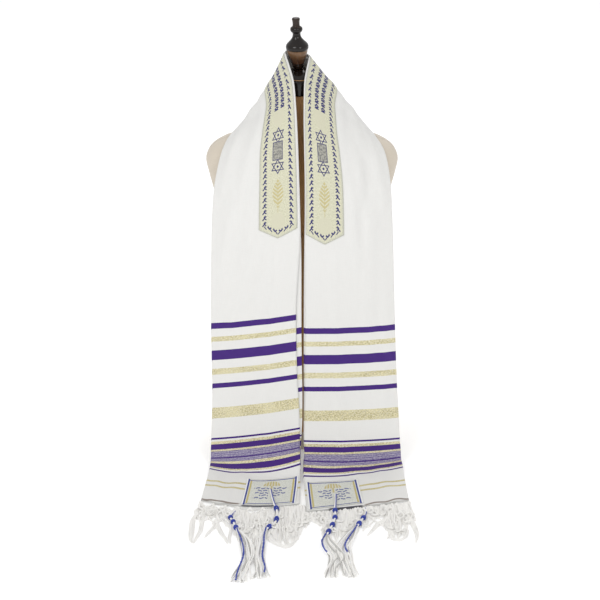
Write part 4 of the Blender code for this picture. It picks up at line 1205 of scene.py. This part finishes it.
class PRAYERSCARF_OT_fringe(bpy.types.Operator):
    """Knot the net and lay the loose locks in front of each hem"""

    bl_idname = "prayer_scarf.fringe"
    bl_label = "Fringe"

    def lock(self, chance, yarns, width, marks, pile=0.0018, steps=6):
        """One lock: yarns side by side that wander, part and close again."""
        middle = smooth_path([(x, y, 0.0) for x, y in marks], steps)
        side, _ = path_frames(middle)
        t = np.linspace(0.0, 1.0, len(middle))
        strands = []
        for k in range(yarns):
            share = (k + 0.5) / yarns - 0.5
            sway = chance.uniform(0.4, 1.1) * np.sin(t * chance.uniform(5, 10) + random_turn(chance))
            body = np.sin(np.pi * np.clip(0.22 + 0.78 * t, 0, 1)) ** 0.6
            shift = (share * body + 0.12 * sway * t) * width
            radius = YARN_RADIUS * chance.uniform(0.85, 1.2)
            points = middle + side * shift[:, None]
            ripple = 0.0007 * np.sin(t * chance.uniform(8, 16) + random_turn(chance))
            points[:, 2] = radius + 0.0003 + (pile + ripple) * np.abs(np.cos(math.pi * share)) * body
            strands.append((points, radius * (1 - 0.5 * t**4), 0))
        return strands

    def net(self, chance, left):
        """Twisted cords from the hem down rows of diamonds, with a knot at each crossing."""
        strands = []
        levels = [0.0008] + [NET_STRIP + row * NET_ROW for row in range(4)]
        for i in range(NET_CELLS + 1):
            deep = 3 if not left and i < 2 else 5
            for first in (-0.5, 0.5):
                share = i
                marks = [(i / NET_CELLS, levels[0]), (i / NET_CELLS, levels[1])]
                for row, level in enumerate(levels[2:deep]):
                    share += first if row % 2 == 0 else -first
                    marks.append((np.clip(share / NET_CELLS, 0, 1), level))
                path = smooth_path([(*hem_place(left, *mark), NET_HEIGHT) for mark in marks], 10)
                strands += twisted(path, 2, 0.0011, 0.0012, 0.0075, random_turn(chance))
        for row, level in enumerate(levels[1:]):
            between_cells = 0.5 * (row % 2)
            first = 2 if not left and row > 1 else 0
            for i in range(first, NET_CELLS + 1 - row % 2):
                x, y = hem_place(left, (i + between_cells) / NET_CELLS, level)
                turn = np.linspace(0, 2 * math.pi * 1.75, 22)
                rising = 0.0016 + 0.0020 * turn / turn[-1]
                knot = np.column_stack([x + 0.0028 * np.cos(turn), y + 0.0022 * np.sin(turn), rising])
                strands.append((knot, PLY_RADIUS, 0))
        return strands

    def whorl(self, chance, middle, reach):
        """A lock that has curled up on the pile."""
        turn = random_turn(chance)
        way = chance.choice((-1, 1))
        marks = []
        for step in range(7):
            angle = turn + way * step * 0.85
            far = reach * (1.0 - 0.07 * step)
            marks.append((middle[0] + far * math.cos(angle), middle[1] + 1.35 * far * math.sin(angle)))
        return self.lock(chance, 5, reach * 0.75, marks, pile=chance.uniform(0.0060, 0.0085), steps=4)

    def mass(self, chance, left, number, edge):
        """Locks laid close together from the hem to the mass's lower edge."""
        line = hem_line(left)
        edge = np.array(edge)
        ends = np.linspace(edge[0, 0], edge[-1, 0], number)
        order = np.argsort(edge[:, 0])
        hem_order = np.argsort(line[:, 0])
        strands = []
        for k, end_x in enumerate(ends):
            end_y = np.interp(end_x, edge[order, 0], edge[order, 1])
            start_x = end_x * 0.97
            beyond = 0.004 + (0.020 * math.exp(-(((start_x + 0.087) / 0.022) ** 2)) if left else 0.0)
            beyond += 0.008 if start_x < -0.124 else 0.0
            start_y = np.interp(start_x, line[hem_order, 0], line[hem_order, 1]) - beyond
            start = np.array((start_x, start_y))
            run = np.array((end_x - start_x, (end_y - start_y) * chance.uniform(0.93, 1.0)))
            marks = []
            for step in LOCK_STEPS:
                curl = 0.0040 * math.sin(8.0 * step + 2.4 * k) * math.sqrt(step)
                curl += chance.uniform(-0.0014, 0.0014)
                marks.append(start + run * step + (curl, 0.0))
            width, pile = 0.0085 * chance.uniform(0.85, 1.25), chance.uniform(0.002, 0.0055)
            strands += self.lock(chance, 7, width, marks, pile, steps=5)
            if k % 2 and run[1] < -0.04:
                middle = start + run * chance.uniform(0.25, 0.85)
                strands += self.whorl(chance, middle, chance.uniform(0.0055, 0.0085))
        return strands

    def execute(self, context):
        settings = context.scene.prayer_scarf
        yarn = yarn_finish("fringe_yarn", settings.yarn_light, settings.yarn_dark, 0.85)
        for name, node, left, locks, masses in (
            ("left_fringe", "fringe_left", True, LEFT_LOCKS, LEFT_MASSES),
            ("right_fringe", "fringe_right", False, RIGHT_LOCKS, RIGHT_MASSES),
        ):
            chance = random.Random(LEFT_SEED if left else RIGHT_SEED)
            strands = self.net(chance, left)
            for yarns, width, *marks in locks:
                strands += self.lock(chance, yarns + 2, width * 1.2, marks, pile=0.0024)
            for number, *edge in masses:
                strands += self.mass(chance, left, number, edge)
            finished(cord_piece(name, strands, yarn), [], "fringe_yarn", node)
        return {"FINISHED"}


class PRAYERSCARF_OT_tassels(bpy.types.Operator):
    """Wind the knotted tassels that leave the corners"""

    bl_idname = "prayer_scarf.tassels"
    bl_label = "Corner Tassels"

    def head(self, table):
        """White plies along the cord, a blue one up to the first knot and blue turns at each knot."""
        steps = 12
        path = smooth_path(table, steps)
        points, radii = path[:, :3], path[:, 3]
        slim = np.minimum(radii, 0.0021)
        strands = twisted(points, 3, slim * 0.5, PLY_RADIUS, PLY_TURN)
        knots = [i for i in range(1, len(table) - 1) if table[i][3] > KNOT_RADIUS]
        lead = points[: knots[0] * steps] + (0.0011, 0.0, 0.0013)
        strands.append((lead, PLY_RADIUS, 1))
        index = np.arange(len(points))
        turn = 2 * math.pi * COIL_TURNS * np.linspace(0, 1, COIL_POINTS)[:, None]
        wide = 0.0023 + 0.0017 * np.sin(np.linspace(0, math.pi, COIL_POINTS))[:, None]
        for i in knots:
            spots = np.linspace((i - 0.5) * steps, (i + 0.42) * steps, COIL_POINTS)
            centre, across, above = (
                np.column_stack([np.interp(spots, index, column) for column in rows.T])
                for rows in (points, *path_frames(points))
            )
            coil = centre + (across * np.cos(turn) + above * np.sin(turn)) * wide
            strands.append((coil, PLY_RADIUS, 1))
        return strands

    def loose(self, chance, end, route, spread, lean, blue_strand, blue_share):
        """Strands that leave the last knot, bowed out to the side that they lean to."""
        strands = []
        for k in range(LOOSE_STRANDS):
            share = (k + 0.5) / LOOSE_STRANDS * 2 - 1
            marks = [end + (share * 0.0014, 0.0, 0.0)]
            for number, place in enumerate(route):
                t = (number + 1) / len(route)
                bow = lean * math.sin(math.pi * min(t, 0.8) / 0.8)
                bow *= 0.5 + 0.5 * share * math.copysign(1, lean)
                side = (share * (0.30 + 0.70 * t * t) + bow) * spread
                sway = 0.0035 * math.sin(1.9 * k + 3.1 * t) * t
                marks.append(np.array(place) + (side + sway, 0.0024 * math.sin(2.3 * k) * t, 0.0))
            path = smooth_path(marks, 10)
            t = np.linspace(0, 1, len(path))
            ripple = 0.0020 * np.sin(t * chance.uniform(6, 12) + random_turn(chance))
            path[:, 0] += ripple * np.minimum(1.0, 2 * t)
            path[:, 2] += chance.uniform(0.0, 0.0032) + 0.0010 * np.sin(t * chance.uniform(6, 12)) * t
            path[:, 2] = np.maximum(path[:, 2], 0.0020)
            start = random_turn(chance)
            if k == blue_strand:
                path[:, 2] += 0.0022
                cut = int(len(path) * blue_share)
                strands += twisted(path[:cut], 2, PLY_LAY, PLY_RADIUS, 0.0060, start, 1)
                path = path[cut - 1 :]
            if len(path) > 2:
                # Every third strand takes the grey yarn: painted shade for the crevices between the
                # cords.
                shaded = 2 if k % 3 == 1 else 0
                strands += twisted(path, 3, PLY_LAY, PLY_RADIUS, PLY_TURN, start, shaded)
        return strands

    def execute(self, context):
        settings = context.scene.prayer_scarf
        white = yarn_finish("tassel_white", settings.yarn_light, settings.yarn_dark, 0.75)
        # The grey yarn is painted shade for the crevices between the cords.
        shade = yarn_finish("tassel_painted_shade", settings.yarn_painted_shade, settings.yarn_painted_shade, 0.80)
        blue = yarn_finish("tassel_blue", settings.thread_blue, settings.thread_navy, 0.55)
        for number, (node, (table, *manner)) in enumerate(TASSELS.items()):
            chance = random.Random(TASSEL_SEED + number)
            strands = self.head(table) + self.loose(chance, np.array(table[-1][:3]), *manner)
            name = node.replace("tassel_", "") + "_tassel"
            finished(cord_piece(name, strands, white, blue, shade), [], "tassel_thread", node)
        return {"FINISHED"}


class PRAYERSCARF_OT_dress_form(bpy.types.Operator):
    """Raise the limbless form from its flat underside"""

    bl_idname = "prayer_scarf.dress_form"
    bl_label = "Dress Form"

    def execute(self, context):
        settings = context.scene.dress_form
        table = SmoothTable.keyed(FORM_SECTIONS)
        heights = [0.0, 0.0015, 0.004] + [0.004 + 0.008 * k for k in range(1, 66)]
        heights += [0.532 + 0.0055 * k for k in range(1, 30)] + [NECK_TOP]
        deselect_all()
        bpy.ops.mesh.primitive_circle_add(vertices=FORM_SIDES, radius=1.0, fill_type="NGON")
        made = named("form_body")
        open_whole()
        for before, after in zip(heights, heights[1:]):
            way = (0.0, 0.0, after - before)
            bpy.ops.mesh.extrude_region_move(TRANSFORM_OT_translate={"value": way})
        bpy.ops.object.mode_set(mode="OBJECT")
        spots = mesh_points(made.data)
        sections = table.at(spots[:, 2])
        spots[:, 0] *= sections[:, 0]
        spots[:, 1] *= np.where(spots[:, 1] < 0, sections[:, 1], sections[:, 2])
        set_mesh_points(made.data, spots)
        open_whole()
        close_outwards()
        finished(made, [linen_finish(settings)], "linen", "dress_form")
        return {"FINISHED"}


class PRAYERSCARF_OT_neck_post(bpy.types.Operator):
    """Turn the neck cap and the finial"""

    bl_idname = "prayer_scarf.neck_post"
    bl_label = "Neck Post"

    def turned(self, name, profile, lean, steps):
        """A solid of revolution from its outline, made smooth and closed at both ends."""
        deselect_all()
        bpy.ops.mesh.primitive_plane_add(size=0.001, location=(0.0, 0.0, 0.0))
        made = named(name)
        open_whole()
        bpy.ops.mesh.merge(type="CENTER")
        points = [(0.0, profile[0][1] + 0.0002), *profile, (0.0, profile[-1][1])]
        bpy.ops.transform.translate(value=(0.0, 0.0, points[0][1]))
        for before, after in zip(points, points[1:]):
            way = (after[0] - before[0], 0.0, after[1] - before[1])
            bpy.ops.mesh.extrude_region_move(TRANSFORM_OT_translate={"value": way})
        bpy.ops.mesh.select_all(action="SELECT")
        bpy.ops.mesh.spin(steps=steps, angle=2 * math.pi, center=(0.0, 0.0, 0.0), axis=(0.0, 0.0, 1.0))
        bpy.ops.mesh.select_all(action="SELECT")
        bpy.ops.mesh.remove_doubles(threshold=0.00002)
        close_outwards()
        apply_modifier(made, "SUBSURF", levels=1, render_levels=1)
        spots = mesh_points(made.data)
        x, z = spots[:, 0].copy(), spots[:, 2] - NECK_TOP
        spots[:, 0] = POST_X + x * math.cos(lean) - z * math.sin(lean)
        spots[:, 2] = NECK_TOP + x * math.sin(lean) + z * math.cos(lean)
        set_mesh_points(made.data, spots)
        return made

    def execute(self, context):
        settings = context.scene.dress_form
        wood = wood_finish(settings)
        for name, profile, lean in (("cap", CAP_PROFILE, 0.0), ("finial", FINIAL_PROFILE, POST_LEAN)):
            made = self.turned(name, profile, lean, settings.turning_steps)
            finished(made, [wood], "dark_wood", "neck_" + name)
        return {"FINISHED"}


class PRAYERSCARF_OT_stage(bpy.types.Operator):
    """Lay the pale floor and place the lights and the camera"""

    bl_idname = "prayer_scarf.stage"
    bl_label = "Floor, Lights and Camera"

    def aim(self, made, target):
        made.rotation_euler = (Vector(target) - made.location).to_track_quat("-Z", "Y").to_euler()

    def execute(self, context):
        settings = context.scene.dress_form
        deselect_all()
        bpy.ops.mesh.primitive_plane_add(size=2 * settings.floor_reach, location=(0.0, 0.0, -0.0002))
        floor = named("floor")
        finish = Finish("pale_floor")
        mottle = finish.noise(finish.place(), 6.0, 2.0)
        colour = finish.mix(mottle * 0.1, settings.floor_white, (0.90, 0.90, 0.90))
        floor.data.materials.append(finish.shader(
            Base_Color=colour, Roughness=0.9,
            Emission_Color=(1.0, 1.0, 1.0, 1.0), Emission_Strength=0.22,
        ))
        for name, place, target, width, power in LIGHTS:
            bpy.ops.object.light_add(type="AREA", location=place)
            lamp = named(name)
            lamp.data.shape = "DISK"
            lamp.data.size = width
            lamp.data.energy = power
            self.aim(lamp, target)
        world = bpy.data.worlds.new("white_studio")
        world.use_nodes = True
        sky = world.node_tree.nodes["Background"]
        sky.inputs["Color"].default_value = (1.0, 1.0, 1.0, 1.0)
        sky.inputs["Strength"].default_value = SKY_STRENGTH
        context.scene.world = world
        bpy.ops.object.camera_add(location=CAMERA_PLACE)
        camera = named("camera")
        self.aim(camera, CAMERA_TARGET)
        camera.data.lens = 128.0
        camera.data.sensor_width = 36.0
        camera.data.shift_x = -2 / 600
        camera.data.clip_end = 60.0
        context.scene.camera = camera
        context.scene.view_settings.view_transform = "Standard"
        return {"FINISHED"}


class PRAYERSCARF_PT_pieces(bpy.types.Panel):
    """The scarf's pieces, in the order in which they are made"""

    bl_idname = "PRAYERSCARF_PT_pieces"
    bl_label = "Prayer Scarf"
    bl_space_type = "VIEW_3D"
    bl_region_type = "UI"
    bl_category = "Prayer Scarf"

    def draw(self, context):
        for operator in OPERATORS:
            self.layout.operator(operator.bl_idname)
        for group in (context.scene.prayer_scarf, context.scene.dress_form):
            box = self.layout.box()
            for name in group.bl_rna.properties.keys():
                if name not in ("rna_type", "name"):
                    box.prop(group, name)


OPERATORS = (
    PRAYERSCARF_OT_dress_form, PRAYERSCARF_OT_neck_post, PRAYERSCARF_OT_neckband,
    PRAYERSCARF_OT_patches, PRAYERSCARF_OT_fringe, PRAYERSCARF_OT_tassels,
    PRAYERSCARF_OT_cloth, PRAYERSCARF_OT_stage,
)
CLASSES = (ScarfSettings, FormSettings, *OPERATORS, PRAYERSCARF_PT_pieces)


def register():
    for cls in CLASSES:
        bpy.utils.register_class(cls)
    bpy.types.Scene.prayer_scarf = PointerProperty(type=ScarfSettings)
    bpy.types.Scene.dress_form = PointerProperty(type=FormSettings)


def unregister():
    del bpy.types.Scene.dress_form
    del bpy.types.Scene.prayer_scarf
    for cls in reversed(CLASSES):
        bpy.utils.unregister_class(cls)


def main():
    register()
    bpy.ops.prayer_scarf.dress_form()
    bpy.ops.prayer_scarf.neck_post()
    bpy.ops.prayer_scarf.neckband()
    bpy.ops.prayer_scarf.patches()
    bpy.ops.prayer_scarf.fringe()
    bpy.ops.prayer_scarf.tassels()
    bpy.ops.prayer_scarf.cloth()
    bpy.ops.prayer_scarf.stage()


if __name__ == "__main__":
    main()
